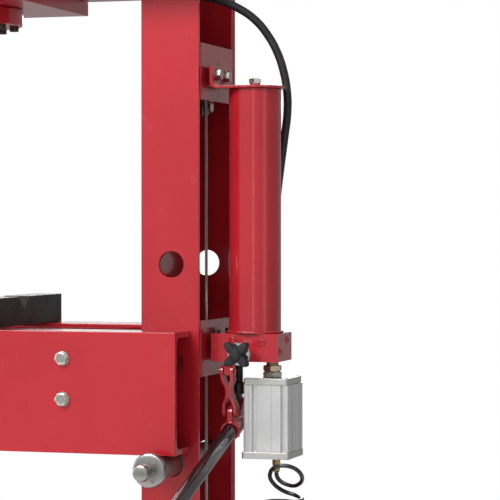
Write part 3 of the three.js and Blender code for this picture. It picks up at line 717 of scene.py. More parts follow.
    def block(self, low: Point, high: Point) -> "Shape":
        """A rectangular block between two corners."""
        outline = [(low[0], low[1]), (high[0], low[1]), (high[0], high[1]), (low[0], high[1])]
        return self.prism(outline, (0, 0, low[2]), X_AXIS, Y_AXIS, high[2] - low[2])

    def sweep(self, path: Sequence[Vector], radius: Callable[[float], float] | float, sides: int = 12,
              around: Callable[[float], tuple[float, float]] | None = None) -> "Shape":
        """Carries a round section along a path.

        Args:
            path: the path's points, close together.
            radius: the section's radius, or a function of the length travelled.
            sides: how many faces go round.
            around: the section's offset from the path, as a function of the length travelled,
                in the path's own cross frame.

        Returns:
            This shape.
        """
        side, other, _ = cross_frame(path[1] - path[0])
        travelled, rings = 0.0, []
        for k, point in enumerate(path):
            ahead = path[min(k + 1, len(path) - 1)] - path[max(k - 1, 0)]
            along = ahead.normalized()
            side = (side - along * side.dot(along)).normalized()
            other = along.cross(side)
            if k:
                travelled += (point - path[k - 1]).length
            across, up = around(travelled) if around else (0.0, 0.0)
            hub = point + side * across + other * up
            size = radius(travelled) if callable(radius) else radius
            angles = [2 * math.pi * n / sides for n in range(sides)]
            rings.append(self.ring([hub + (side * math.cos(a) + other * math.sin(a)) * size for a in angles]))
        for first, second in zip(rings, rings[1:]):
            self.bridge(first, second)
        self.mesh.faces.new(rings[0])
        self.mesh.faces.new(rings[-1])
        return self

    def bead(self, path: Sequence[Point], size: float) -> "Shape":
        """A weld bead with overlapping ripples.

        Args:
            path: the line that the weld follows.
            size: the bead's radius.

        Returns:
            This shape.
        """
        step = 0.9
        line = curve_through(path, step)

        def swell(travelled: float) -> float:
            """The bead's radius after that length."""
            ripple = abs(math.sin(travelled * math.pi / 3.1))
            return size * (0.86 + 0.16 * ripple + 0.05 * math.sin(travelled * 0.37))

        return self.sweep(line, swell, 12)

    def thread(self, radius: float, start: float, end: float, pitch: float, origin: Point,
               axis: Point = Z_AXIS) -> "Shape":
        """A bar with thread rings and a chamfered tip.

        Args:
            radius: the thread's outer radius.
            start: where it starts along the axis.
            end: where it ends.
            pitch: the distance from ring to ring.
            origin: the point from which the distances count.
            axis: the axis's direction.

        Returns:
            This shape.
        """
        root = radius - 0.55 * pitch
        profile: list[tuple[float, float]] = [(0, start), (root, start)]
        place = start + pitch / 2
        while place < end - pitch:
            profile += [(radius, place), (root, place + pitch / 2)]
            place += pitch
        profile += [(root, end - pitch / 2), (root - 0.3 * pitch, end), (0, end)]
        return self.lathe(profile, origin, axis, 36)

    def piece(self, name: str, finish: Finish, body: str, bevel: float = 0.0, crease: float = 35.0,
              replaces: Sequence[str] = ()) -> bpy.types.Object:
        """Makes the piece, in metres, riding on its body.

        Args:
            name: the piece's name.
            finish: what it is finished with.
            body: the CAD body that it moves with.
            bevel: how far its sharp edges are rounded, in millimetres, or 0.
            crease: the angle in degrees from which an edge is sharp.
            replaces: the CAD nodes that it stands for.

        Returns:
            The piece.
        """
        bmesh.ops.recalc_face_normals(self.mesh, faces=self.mesh.faces[:])
        self.mesh.transform(Matrix.Translation(MIDDLE) @ Matrix.Scale(MM, 4))
        return assembled(self.mesh, name, finish, body, bevel, crease, replaces)


def assembled(mesh: bmesh.types.BMesh, name: str, finish: Finish, body: str, bevel: float, crease: float,
              replaces: Sequence[str]) -> bpy.types.Object:
    """Makes a piece of a mesh in metres, dresses it and sets it on its body.

    Args:
        mesh: the mesh, which is used up.
        name: the piece's name.
        finish: what it is finished with.
        body: the CAD body that it moves with.
        bevel: how far its sharp edges are rounded, in millimetres, or 0.
        crease: the angle in degrees from which an edge is sharp.
        replaces: the CAD nodes that it stands for.

    Returns:
        The piece.
    """
    data = bpy.data.meshes.new(name)
    mesh.to_mesh(data)
    mesh.free()
    made = placed(name, data)
    dress(made, finish, bevel, crease)
    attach(made, body)
    if replaces:
        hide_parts(*replaces)
    LOG.info("%s: %d faces, %s", name, len(data.polygons), finish.name)
    return made


def dress(made: bpy.types.Object, finish: Finish, bevel: float, crease: float = 35.0) -> None:
    """Gives a mesh its finish, smooth shading and rounded edges.

    Args:
        made: the mesh object.
        finish: its finish.
        bevel: how far its sharp edges are rounded, in millimetres, or 0.
        crease: the angle in degrees from which an edge is sharp.
    """
    made.data.materials.clear()
    made.data.materials.append(finish.material())
    made.data.shade_smooth()
    if bevel:
        rounding = made.modifiers.new("rounded_edges", "BEVEL")
        rounding.width = bevel * MM
        rounding.segments = 2
        rounding.limit_method = "ANGLE"
        rounding.angle_limit = math.radians(crease)
        normals = made.modifiers.new("even_normals", "WEIGHTED_NORMAL")
        normals.keep_sharp = False
    else:
        made.data.set_sharp_from_angle(angle=math.radians(crease))


def shell(node: str, finish: Finish, bevel: float, crease: float = 40.0) -> bpy.types.Object:
    """A copy of a CAD node with its flat faces made whole and its edges rounded.

    Args:
        node: the CAD node, which the copy stands for.
        finish: the copy's finish.
        bevel: how far its sharp edges are rounded, in millimetres.
        crease: the angle in degrees from which an edge is sharp.

    Returns:
        The copy.
    """
    source = frame["nodes"][node]
    mesh = bmesh.new()
    mesh.from_mesh(source.data)
    bmesh.ops.remove_doubles(mesh, verts=mesh.verts[:], dist=SAME_PLACE)
    bmesh.ops.dissolve_limit(mesh, angle_limit=FLAT, verts=mesh.verts[:], edges=mesh.edges[:])
    bmesh.ops.recalc_face_normals(mesh, faces=mesh.faces[:])
    return assembled(mesh, f"{node}_form", finish, source["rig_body"], bevel, crease, (node,))


@dataclass(frozen=True)
class Fastener:
    """A hexagon bolt's size."""

    thread: float
    across: float
    head: float
    washer: float

    def bolt(self, shape: Shape, seat: Point, axis: Point, turn: float = 0.0) -> None:
        """Adds a head on its washer, facing along the axis.

        Args:
            shape: what to add it to.
            seat: the point on the clamped face under the head.
            axis: the direction that the head faces.
            turn: the head's turn, in degrees.
        """
        thick = 0.16 * self.thread
        shape.washer(self.washer, self.thread / 2, 0.02, thick, seat, axis)
        shape.hexagon(self.across, thick, thick + self.head, seat, axis, turn=turn)
        crown = thick + self.head
        shape.lathe([(0.40 * self.across, crown - 0.2), (0.38 * self.across, crown + 0.25),
                     (0, crown + 0.25)],
                    seat, axis, 36)

    def nut(self, shape: Shape, seat: Point, axis: Point, tail: float, turn: float = 0.0) -> None:
        """Adds a nut on its washer with the bolt's end showing.

        Args:
            shape: what to add it to.
            seat: the point on the clamped face under the nut.
            axis: the direction that the bolt's end points.
            tail: how far the thread stands beyond the nut.
            turn: the nut's turn, in degrees.
        """
        thick = 0.16 * self.thread
        high = thick + 0.8 * self.thread
        shape.washer(self.washer, self.thread / 2, 0.02, thick, seat, axis)
        shape.hexagon(self.across, thick, high, seat, axis, turn=turn)
        shape.thread(self.thread / 2, high - 1, high + tail, 0.15 * self.thread, seat, axis)


M8 = Fastener(8, 13, 5.3, 8)
M10 = Fastener(10, 17, 6.4, 10.5)
M12 = Fastener(12, 19, 7.5, 12)
M20 = Fastener(20, 30, 12.5, 18.5)


# ---------------------------------------------------------------- studio
@dataclass
class Studio:
    """The camera, the lights, the pale floor and the bright surroundings."""

    eye: Point = (1611.0, -3591.0, 1190.0)
    yaw: float = 17.083
    dip: float = 0.64
    focal_length: float = 161.3
    floor_radius: float = 2.6
    brightest: Point = (-0.4, -0.8, 0.45)

    def build(self) -> None:
        """Sets the whole studio up."""
        self.camera()
        self.floor()
        self.lights()
        self.surroundings()

    def camera(self) -> None:
        """Places the camera, looking level and slightly down at the right upright."""
        data = bpy.data.cameras.new("camera")
        data.lens = self.focal_length
        data.sensor_width = 36.0
        data.clip_end = 60.0
        made = placed("camera", data)
        made.location = MIDDLE + Vector(self.eye) * MM
        made.rotation_euler = (math.radians(90 - self.dip), 0.0, math.radians(self.yaw))
        bpy.context.scene.camera = made

    def floor(self) -> None:
        """Lays a round pale floor under the feet."""
        mesh = bmesh.new()
        bmesh.ops.create_circle(mesh, cap_ends=True, segments=128, radius=self.floor_radius)
        data = bpy.data.meshes.new("studio_floor")
        mesh.to_mesh(data)
        mesh.free()
        data.materials.append(FLOOR.material())
        made = placed("studio_floor", data)
        made.location = (MIDDLE.x, MIDDLE.y, -0.0005)

    def light(self, name: str, place: Point, aim: Point, size: tuple[float, float], power: float) -> None:
        """Adds a soft rectangular light.

        Args:
            name: the light's name.
            place: where it stands, in metres.
            aim: the point that it faces, in metres.
            size: its width and height in metres.
            power: its power in watts.
        """
        data = bpy.data.lights.new(name, "AREA")
        data.shape = "RECTANGLE"
        data.size, data.size_y = size
        data.energy = power
        made = placed(name, data)
        made.location = place
        made.rotation_euler = (Vector(aim) - Vector(place)).to_track_quat("-Z", "Y").to_euler()

    def lights(self) -> None:
        """Hangs a large soft box high in front and to the left, and weaker ones about it."""
        aim = (0.4, 0.0, 1.0)
        self.light("key_light", (-0.75, -3.0, 3.5), aim, (2.2, 1.6), 158.0)
        self.light("strip_light", (1.05, -3.6, 1.3), (0.45, 0.0, 1.2), (0.08, 2.2), 3.0)
        self.light("left_light", (-3.6, -1.6, 1.6), aim, (1.6, 2.4), 40.0)
        self.light("right_light", (3.4, -1.7, 1.5), (0.35, 0.0, 1.2), (0.9, 2.4), 4.0)
        self.light("rear_light", (-1.0, 3.6, 2.6), (0.0, 0.0, 1.0), (2.2, 2.2), 60.0)

    def surroundings(self) -> None:
        """Shows white all round, while the press itself is lit by a dim room that is darkest behind it."""
        world = bpy.data.worlds.new("studio")
        sky = Shader(world)
        where = sky.node("ShaderNodeTexCoord", output="Generated")
        toward = sky.node("ShaderNodeVectorMath", {"operation": "DOT_PRODUCT"}, {0: where, 1: self.brightest},
                          "Value")
        ends = {"From Min": -0.7, "From Max": 1.0, "To Min": 0.3, "To Max": 0.5}
        spread = sky.node("ShaderNodeMapRange", {"interpolation_type": "SMOOTHSTEP"},
                          {"Value": toward, **ends},
                          "Result")
        room = sky.node("ShaderNodeBackground", None, {"Color": spread})
        white = sky.node("ShaderNodeBackground", None, {"Color": (1.0, 1.0, 1.0, 1.0)})
        seen = sky.node("ShaderNodeLightPath", output="Is Camera Ray")
        sky.end("ShaderNodeOutputWorld", sky.node("ShaderNodeMixShader", None, {0: seen, 1: room, 2: white}))
        bpy.context.scene.world = world
        bpy.context.scene.view_settings.view_transform = "Standard"


# ---------------------------------------------------------------- cords
@dataclass
class Cord:
    """A hose or line along a smooth route, in metres from the middle of the frame."""

    name: str
    route: Sequence[Point]
    diameter: float
    length: float
    stiffness: str
    lay: str
    stands_for: tuple[str, ...]

    def build(self, finish: Finish, with_pieces: Sequence[bpy.types.Object] = ()) -> bpy.types.Object:
        """Args:
            finish: what the cord is made of.
            with_pieces: the separate pieces on it.

        Returns:
            The curve.
        """
        data = bpy.data.curves.new(self.name, "CURVE")
        data.dimensions = "3D"
        data.bevel_depth = self.diameter / 2
        data.bevel_resolution = 5
        data.resolution_u = 8
        data.use_fill_caps = True
        spline = data.splines.new("BEZIER")
        spline.bezier_points.add(len(self.route) - 1)
        for knot, point in zip(spline.bezier_points, self.route):
            knot.co = MIDDLE + Vector(point)
            knot.handle_left_type = knot.handle_right_type = "AUTO"
        data.materials.append(finish.material())
        made = placed(self.name, data)
        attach(made, "frame")
        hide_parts(*self.stands_for)
        LOG.info("%s: cord of %d points, %s", self.name, len(self.route), finish.name)
        return made


HOSE_ROUTE = (
    (0.538, 0.038, 1.0323), (0.538, 0.038, 1.050), (0.538, 0.0365, 1.085), (0.5385, 0.033, 1.130),
    (0.541, 0.029, 1.180), (0.546, 0.0265, 1.230), (0.553, 0.0255, 1.285), (0.560, 0.025, 1.335),
    (0.5655, 0.025, 1.380), (0.565, 0.024, 1.415), (0.559, 0.022, 1.450), (0.549, 0.020, 1.480),
    (0.534, 0.017, 1.508), (0.514, 0.013, 1.533), (0.487, 0.008, 1.553), (0.455, 0.003, 1.567),
    (0.420, 0.001, 1.576), (0.385, 0.0, 1.581), (0.355, 0.0, 1.5835), (0.322, 0.0, 1.587),
    (0.290, 0.0, 1.594), (0.258, 0.0, 1.606), (0.226, 0.0, 1.621), (0.195, 0.0, 1.637),
    (0.164, 0.0, 1.650), (0.135, 0.0, 1.658), (0.112, 0.0, 1.660), (0.0983, 0.0, 1.660),
)
AIR_LEAD = (
    (0.558, -0.015, 0.7782), (0.5583, -0.015, 0.7745), (0.5605, -0.015, 0.7685), (0.566, -0.015, 0.763),
    (0.577, -0.017, 0.7585), (0.590, -0.022, 0.7575), (0.602, -0.031, 0.762), (0.610, -0.042, 0.770),
    (0.612, -0.053, 0.779), (0.608, -0.063, 0.788), (0.599, -0.070, 0.794), (0.588, -0.073, 0.796),
    (0.576, -0.071, 0.7945), (0.566, -0.064, 0.789), (0.559, -0.054, 0.781), (0.5555, -0.043, 0.772),
    (0.557, -0.031, 0.762), (0.563, -0.021, 0.753), (0.574, -0.015, 0.746), (0.588, -0.015, 0.742),
    (0.598, -0.020, 0.7395), (0.605, -0.028, 0.738), (0.609, -0.039, 0.7366),
)
AIR_TAIL = (
    (0.549, -0.0405, 0.6875), (0.547, -0.036, 0.681), (0.541, -0.030, 0.674), (0.532, -0.025, 0.668),
    (0.525, -0.0215, 0.662), (0.5213, -0.020, 0.657), (0.521, -0.020, 0.6526),
)


@dataclass
class HydraulicHose:
    """The high-pressure hose from the pump block up and back to the cylinder, with its fittings."""

    radius: float = 7.0
    elbow: Point = (538.0, 38.0, 988.0)
    block_rear: float = 24.0
    port: float = 74.0
    port_height: float = 1660.0

    def build(self) -> None:
        """Makes the hose with its ferrules, then the elbow and the fitting at the cylinder."""
        ferrules = [self.pump_ferrule(), self.ram_ferrule()]
        Cord("hydraulic_hose_run", HOSE_ROUTE, 2 * self.radius * MM, 0.96, "stiff", "hanging",
             ("hydraulic_hose",)).build(RUBBER, ferrules)
        self.elbow_fitting()
        self.ram_fitting()

    def crimped(self, length: float) -> list[tuple[float, float]]:
        """A crimped ferrule's profile.

        Args:
            length: the ferrule's length.

        Returns:
            Its points, as pairs of radius and distance along the hose.
        """
        inner, outer = self.radius + 0.15, self.radius + 2.4
        profile = [(inner, 0.0), (outer - 0.8, 0.0), (outer, 0.8)]
        for k in range(1, 6):
            middle = length * k / 6
            profile += [(outer, middle - 1.6), (outer - 0.9, middle - 0.8), (outer - 0.9, middle + 0.8),
                        (outer, middle + 1.6)]
        return [*profile, (outer, length - 0.8), (outer - 0.8, length), (inner, length)]

    def pump_ferrule(self) -> bpy.types.Object:
        """The ferrule above the elbow."""
        shape = Shape().lathe(self.crimped(22.0), (self.elbow[0], self.elbow[1], 1032.5), Z_AXIS, 48,
                              loop=True)
        return shape.piece("hose_ferrule_pump", ZINC, "frame")

    def ram_ferrule(self) -> bpy.types.Object:
        """The ferrule at the cylinder's end."""
        shape = Shape().lathe(self.crimped(18.0), (98.2, 0, self.port_height), X_AXIS, 48, loop=True)
        return shape.piece("hose_ferrule_ram", ZINC, "frame")

    def elbow_fitting(self) -> None:
        """The swivel elbow in the block's rear face."""
        x, y, z = self.elbow
        shape = Shape()
        rear = (x, self.block_rear, z)
        shape.lathe([(0, 0.2), (10.5, 0.2), (10.5, 1.6), (0, 1.6)], rear, Y_AXIS, 48)
        shape.hexagon(19, 1.6, 8.5, rear, Y_AXIS)
        bend = [Vector((x, self.block_rear + 7, z)), Vector((x, y - 4, z))]
        bend += [Vector((x, y - 4 + 4 * math.sin(a), z + 4 - 4 * math.cos(a)))
                 for a in (math.radians(d) for d in range(10, 91, 10))]
        bend.append(Vector((x, y, z + 24)))
        shape.sweep(bend, 7.4, 32)
        shape.hexagon(19, 20, 34, (x, y, z), Z_AXIS, turn=12)
        shape.lathe([(0, 33), (8.6, 33), (8.6, 40), (7.4, 41), (7.4, 44.2), (0, 44.2)], (x, y, z), Z_AXIS, 48)
        shape.piece("hose_elbow_fitting", ZINC, "frame", replaces=("hose_elbow",))

    def ram_fitting(self) -> None:
        """The nut and nipple at the cylinder's port."""
        shape = Shape()
        base = (0, 0, self.port_height)
        shape.hexagon(19, self.port + 0.4, self.port + 9, base, X_AXIS)
        shape.hexagon(19, self.port + 11, self.port + 20, base, X_AXIS, turn=18)
        shape.lathe([(0, self.port + 8.5), (7.5, self.port + 8.5), (7.5, self.port + 24),
                     (0, self.port + 24)],
                    base, X_AXIS, 48)
        shape.piece("hose_end_nut", ZINC, "frame", replaces=("hose_end_fitting",))


@dataclass
class AirLine:
    """The air motor's supply line with its loose loops, down to the foot valve on the column."""

    middle: Point = (0.579, -0.043)
    radius: float = 0.030
    top: float = 0.7366
    bottom: float = 0.6920
    start: float = 7.6
    finish_angle: float = -1960.0
    steps: int = 16

    def route(self) -> list[Point]:
        """The line's whole route: the loose lead, the coil's turns and the tail.

        Returns:
            Its points, in metres from the middle of the frame.
        """
        points: list[Point] = list(AIR_LEAD)
        step = 360.0 / self.steps
        count = int((self.start - self.finish_angle) / step)
        for k in range(1, count + 1):
            degrees = self.start - k * (self.start - self.finish_angle) / count
            fall = self.top - (self.top - self.bottom) * k / count
            angle = math.radians(degrees)
            points.append((self.middle[0] + self.radius * math.cos(angle),
                           self.middle[1] + self.radius * math.sin(angle), fall))
        return [*points, *AIR_TAIL]

    def build(self) -> None:
        """Makes the line."""
        Cord("air_line", self.route(), 0.007, 1.38, "medium", "coiled",
             ("air_hose_lead", "air_hose_coil", "air_hose_tail")).build(NYLON)


# ---------------------------------------------------------------- pump
@dataclass
class PumpMount:
    """The two plates on the column, the pump block and the oil reservoir with its lid."""

    plate_face: float = 450.0
    plate_heights: tuple[tuple[float, float], ...] = ((1397.0, 1491.0), (939.0, 1032.0))
    plate_half: float = 89.7
    tube_axis: Point = (522.6, -21.0)
    tube_radius: float = 43.5
    tube_bottom: float = 1010.8
    tube_top: float = 1416.0
    lid_top: float = 1420.3
    leg_face: float = 464.3

    def build(self) -> None:
        """Makes every piece of the mount, from the plates to the filler plug."""
        for node in ("pump_plate_upper", "pump_plate_lower"):
            shell(node, RED, 1.2)
        self.plate_welds()
        shell("pump_block", RED, 1.3)
        self.plugs()
        self.tube()
        shell("reservoir_lid", RED, 0.7, 30.0)
        self.lid_bolts()
        self.filler()
        self.block_bolts()

    def plate_welds(self) -> None:
        """Welds down the plates' edges, where they meet the column's flanges."""
        shape = Shape()
        for low, high in self.plate_heights:
            for side in (-1, 1):
                edge = side * (self.plate_half + 0.3)
                shape.bead([(self.plate_face - 0.6, edge, low + 3 + (high - low - 6) * k / 24)
                            for k in range(25)], 1.8)
        shape.piece("pump_plate_welds", RED_BEAD, "frame")

    def plugs(self) -> None:
        """Hexagon-socket plugs in raised rims on the block's front and right faces."""
        spots = [((496.0, -61.0, 1000.0), (0, -1, 0)), ((546.0, -61.0, 997.0), (0, -1, 0)),
                 ((573.0, -2.0, 998.0), X_AXIS), ((573.0, -44.0, 981.0), X_AXIS)]
        shape = Shape()
        for place, facing in spots:
            shape.lathe([(3.2, -0.5), (7.0, -0.5), (7.0, 0.7), (6.4, 1.6), (5.3, 1.7), (4.7, 1.0),
                         (4.6, -0.4),
                         (3.2, -0.4)], place, facing, 48, loop=True)
            shape.hexagon(8.4, -0.3, 1.2, place, facing, bore=2.6)
        shape.piece("block_plugs", RED, "frame")

    def tube(self) -> None:
        """The reservoir's tube and the weld round its foot."""
        x, y = self.tube_axis
        radius, base, top = self.tube_radius, self.tube_bottom, self.tube_top
        profile = [(39.5, base), (radius + 0.6, base), (radius + 0.1, base + 4.5), (radius, base + 7)]
        profile += [(radius, base + 7 + (top - base - 8) * k / 12) for k in range(1, 13)]
        profile += [(radius - 0.8, top), (39.5, top)]
        Shape().lathe(profile, (x, y, 0), Z_AXIS, 160, loop=True).piece(
            "reservoir_shell", RED, "frame", replaces=("reservoir_tube",))
        ring = [(x + (radius + 1.4) * math.cos(a), y + (radius + 1.4) * math.sin(a), base + 1.6)
                for a in (math.radians(d) for d in range(0, 361, 6))]
        Shape().bead(ring, 2.6).piece("reservoir_weld", RED_BEAD, "frame")

    def lid_bolts(self) -> None:
        """The two bolts that hold the lid's leg to the upper plate."""
        shape = Shape()
        for y, turn in ((-45.0, 8.0), (2.5, 21.0)):
            M10.bolt(shape, (self.leg_face + 0.1, y, 1439.5), X_AXIS, turn)
        shape.piece("lid_bolts", ZINC, "frame")

    def filler(self) -> None:
        """The filler plug with its sealing washer."""
        x, y = self.tube_axis
        seat = self.lid_top + 4.2
        shape = Shape().washer(9.0, 5.8, seat - 0.1, seat + 1.1, (x, y, 0))
        shape.hexagon(18.6, seat + 1.1, seat + 9.4, (x, y, 0), turn=9)
        shape.rod(5.6, 1402.5, seat + 0.5, (x, y, 0))
        shape.piece("filler_cap", ZINC, "frame", replaces=("filler_plug",))

    def block_bolts(self) -> None:
        """Socket screws beside the reservoir on the block's top, near the column."""
        shape = Shape()
        for y in (-53.0, 16.0):
            place = (465.5, y, 1010.6)
            shape.lathe([(2.5, 0.02), (6.4, 0.02), (6.5, 0.4), (6.5, 5.6), (6.0, 6.1), (3.4, 6.1), (3.1, 5.7),
                         (3.0, 3.0), (0, 2.6)], place, Z_AXIS, 36)
        shape.piece("block_screws", DARK_STEEL, "frame")


@dataclass
class ReleaseValve:
    """The release valve's chromed collar and its four-lobed knob."""

    x: float = 514.0
    z: float = 978.0
    face: float = -61.3
    lobe_mean: float = 18.6
    lobe_swing: float = 8.2

    def build(self) -> None:
        """Makes the collar and the knob."""
        hub = (self.x, 0.0, self.z)
        steps = ((14.6, 0.0), (15.6, 1.0), (15.6, 9.0), (14.6, 10.0), (14.6, 17.0), (18.6, 18.4),
                 (19.4, 19.6),
                 (19.4, 23.4), (18.2, 25.2), (11.5, 25.6), (10.5, 24.8), (7.0, 24.8))
        profile = [(7.0, self.face), *((radius, self.face - proud) for radius, proud in steps)]
        Shape().lathe(profile, hub, Y_AXIS, 96, loop=True).piece(
            "valve_bezel", CHROME, "frame", replaces=("valve_collar",))
        self.knob(hub)

    def lobe(self, degrees: float, shrink: float) -> float:
        """The knob's radius at an angle, less what its rounded edge takes."""
        wave = math.cos(math.radians(4 * (degrees - 45)))
        return self.lobe_mean + self.lobe_swing * (wave - 0.12 * (1 - wave * wave)) - shrink

    def knob(self, hub: Point) -> None:
        """The moulded knob: four rounded lobes, a domed hub and its spindle.

        Args:
            hub: a point on its axis.
        """
        front, back = -105.6, -89.4
        rounding = 4.2
        rings = []
        for k in range(6):
            turn = math.radians(90 * k / 5)
            rings.append((rounding * (1 - math.sin(turn)), back - rounding * 0.6 * (1 - math.cos(turn))))
        for k in range(8):
            turn = math.radians(90 * k / 7)
            rings.append((rounding * (1 - math.cos(turn)), front + rounding * (1 - math.sin(turn))))
        shape = Shape()
        made = []
        for shrink, y in rings:
            points = []
            for degrees in range(0, 360, 3):
                reach = self.lobe(degrees, shrink)
                a = math.radians(degrees)
                points.append(Vector((hub[0] + reach * math.cos(a), y, hub[2] + reach * math.sin(a))))
            made.append(shape.ring(points))
        centre_back = shape.ring([Vector((hub[0], back, hub[2]))])
        centre_front = shape.ring([Vector((hub[0], front - 0.6, hub[2]))])
        for first, second in zip([centre_back, *made], [*made, centre_front]):
            shape.bridge(first, second)
        shape.lathe([(0, -110.2), (5.6, -110.0), (7.6, -109.4), (9.0, -108.2), (9.8, -106.6), (10.2, -105.0),
                     (10.4, -101), (10.4, -89), (9.6, -88.0), (5.9, -87.9), (5.9, -35.4), (0, -35.4)], hub,
                    Y_AXIS, 72)
        shape.lathe([(0, -110.6), (4.6, -110.6), (4.9, -110.2), (4.9, -109.0), (0, -109.0)], hub, Y_AXIS, 48)
        shape.piece("release_handwheel", BLACK_PLASTIC, "release_knob", replaces=("release_knob",))


@dataclass
class PumpLever:
    """The hand lever: swing link, socket with its ear and fork, pins, tube handle and plunger."""

    x: float = 486.0
    pivot_a: Point = (-55.0, 948.0)
    pivot_b: Point = (-38.0, 879.0)
    pivot_c: Point = (7.5, 893.0)
    mouth: Point = (-44.0, 847.0)
    drop: float = 18.4
    socket_radius: float = 16.5
    bore: float = 12.5
    socket_length: float = 66.0
    handle_radius: float = 12.2
    reach: float = 500.0

    def build(self) -> None:
        """Makes every piece of the lever."""
        shell("swing_link", RED, 1.1, 30.0)
        self.pins()
        self.socket()
        self.handle()
        self.plunger()

    def out(self) -> Vector:
        """The handle's direction out of the socket."""
        angle = math.radians(self.drop)
        return Vector((0.0, -math.cos(angle), -math.sin(angle)))

    def pins(self) -> None:
        """The link's pins with their heads, washers and split pins."""
        for name, (y, z), half, radius, body in (
            ("link_pin_upper", self.pivot_a, 12.4, 3.6, "frame"),
            ("link_pin_lower", self.pivot_b, 13.0, 3.6, "pump_lever"),
            ("plunger_pin", self.pivot_c, 12.4, 3.3, "pump_lever"),
        ):
            shape = Shape()
            base = (self.x, y, z)
            shape.lathe([(0, -half - 1.8), (radius + 1.2, -half - 1.8), (radius + 1.8, -half - 1.2),
                         (radius + 1.8, -half + 0.2), (radius, -half + 0.4), (radius, half - 0.6),
                         (radius - 0.8, half + 1.4),
                         (0, half + 1.4)], base, X_AXIS, 36)
            shape.sweep([Vector((self.x + half + 0.4, y - radius - 1.6, z)),
                         Vector((self.x + half + 0.4, y + radius + 2.4, z))],
                        0.8, 10)
            shape.piece(name, RED, body)

    def socket(self) -> None:
        """The socket tube, its ear on the link and its fork on the plunger."""
        direction = self.out()
        mouth = (self.x, *self.mouth)
        radius, bore, length = self.socket_radius, self.bore, self.socket_length
        tube = [(bore + 0.05, -0.8), (bore + 1.0, 0), (radius - 0.8, 0), (radius, -0.8),
                (radius, -length + 1.5),
                (radius - 1.5, -length), (0, -length), (0, -length + 8), (bore, -length + 8)]
        shape = Shape()
        shape.lathe(tube, mouth, direction, 72, loop=False)
        shape.lathe([(bore, -length + 8), (bore + 0.05, -0.8)], mouth, direction, 72)
        ear = [(-47, 877), (-45.6, 883.0), (-42.4, 886.6), (-38, 888), (-33.6, 886.6), (-30.4, 883.0),
               (-12, 866),
               (-18, 864), (-44, 858), (-48, 863)]
        fork = [(-0.5, 893), (0.6, 897.2), (3.5, 900), (7.5, 901), (11.5, 900), (14.4, 897.2), (15.5, 893),
                (16, 872),
                (-10, 866), (-24, 864)]
        plates = Shape()
        plates.prism(ear, (self.x - 4.5, 0, 0), Y_AXIS, Z_AXIS, 9.0)
        for inner in (-9.5, 5.5):
            plates.prism(fork, (self.x + inner, 0, 0), Y_AXIS, Z_AXIS, 4.0)
        plates.piece("lever_ears", RED, "pump_lever", 0.8)
        shape.piece("lever_tube", RED, "pump_lever", crease=30, replaces=("lever_socket",))
        rim = Shape()
        foot = [Vector((self.x + 5.2, -20.0 - 27.0 * k / 6, 871.2 - 9.0 * k / 6)) for k in range(7)]
        rim.bead(foot, 1.8)
        rim.piece("lever_weld", RED_BEAD, "pump_lever")

    def handle(self) -> None:
        """The black tube handle with its closed end and set-in grip."""
        direction = self.out()
        radius, reach = self.handle_radius, self.reach
        inside = self.socket_length - 10
        profile = [(0, -inside), (radius - 0.8, -inside), (radius, -inside + 0.8)]
        profile += [(radius, -inside + (reach - 90 + inside) * k / 10) for k in range(1, 11)]
        profile += [(radius, reach - 5), (radius - 1.4, reach - 1.8), (radius - 4, reach - 0.3), (0, reach)]
        Shape().lathe(profile, (self.x, *self.mouth), direction, 72).piece(
            "handle_tube", BLACK_PAINT, "pump_lever", replaces=("pump_handle",))

    def plunger(self) -> None:
        """The plunger with its slotted eye, return spring seat and split pin."""
        y, z = self.pivot_c
        base = (self.x, y, 0)
        shape = Shape()
        shape.lathe([(0, z + 13), (8.2, z + 13), (9, z + 14), (9, z + 31), (8, z + 32.5), (6.5, z + 34),
                     (6.5, 997.5),
                     (0, 997.5)], base, Z_AXIS, 60)
        outline = [(y - 9, z + 15), (y - 9, z)]
        outline += arc((y, z), 9, 190, 350, 16)
        outline += [(y + 9, z), (y + 9, z + 15)]
        hole = arc((y - 2.8, z), 4.1, 90, 270, 12) + arc((y + 2.8, z), 4.1, -90, 90, 12)
        self.slotted(shape, outline, hole)
        shape.piece("plunger_rod", DARK_STEEL, "plunger", crease=30, replaces=("plunger",))

    def slotted(self, shape: Shape, outline: Outline, hole: Outline) -> None:
        """A plate with a slot through it.

        Args:
            shape: what to add it to.
            outline: its outer edge, as (y, z).
            hole: the slot's edge, as (y, z), the other way round.
        """
        half = 3.5
        rings = [[shape.ring([Vector((self.x + x, py, pz)) for py, pz in edge]) for edge in (outline, hole)]
                 for x in (-half, half)]
        for (outer, inner) in rings:
            edges = [shape.mesh.edges.new((loop[k], loop[(k + 1) % len(loop)])) for loop in (outer, inner)
                     for k in range(len(loop))]
            bmesh.ops.triangle_fill(shape.mesh, use_beauty=True, edges=edges)
        shape.bridge(rings[0][0], rings[1][0])
        shape.bridge(rings[0][1], rings[1][1])


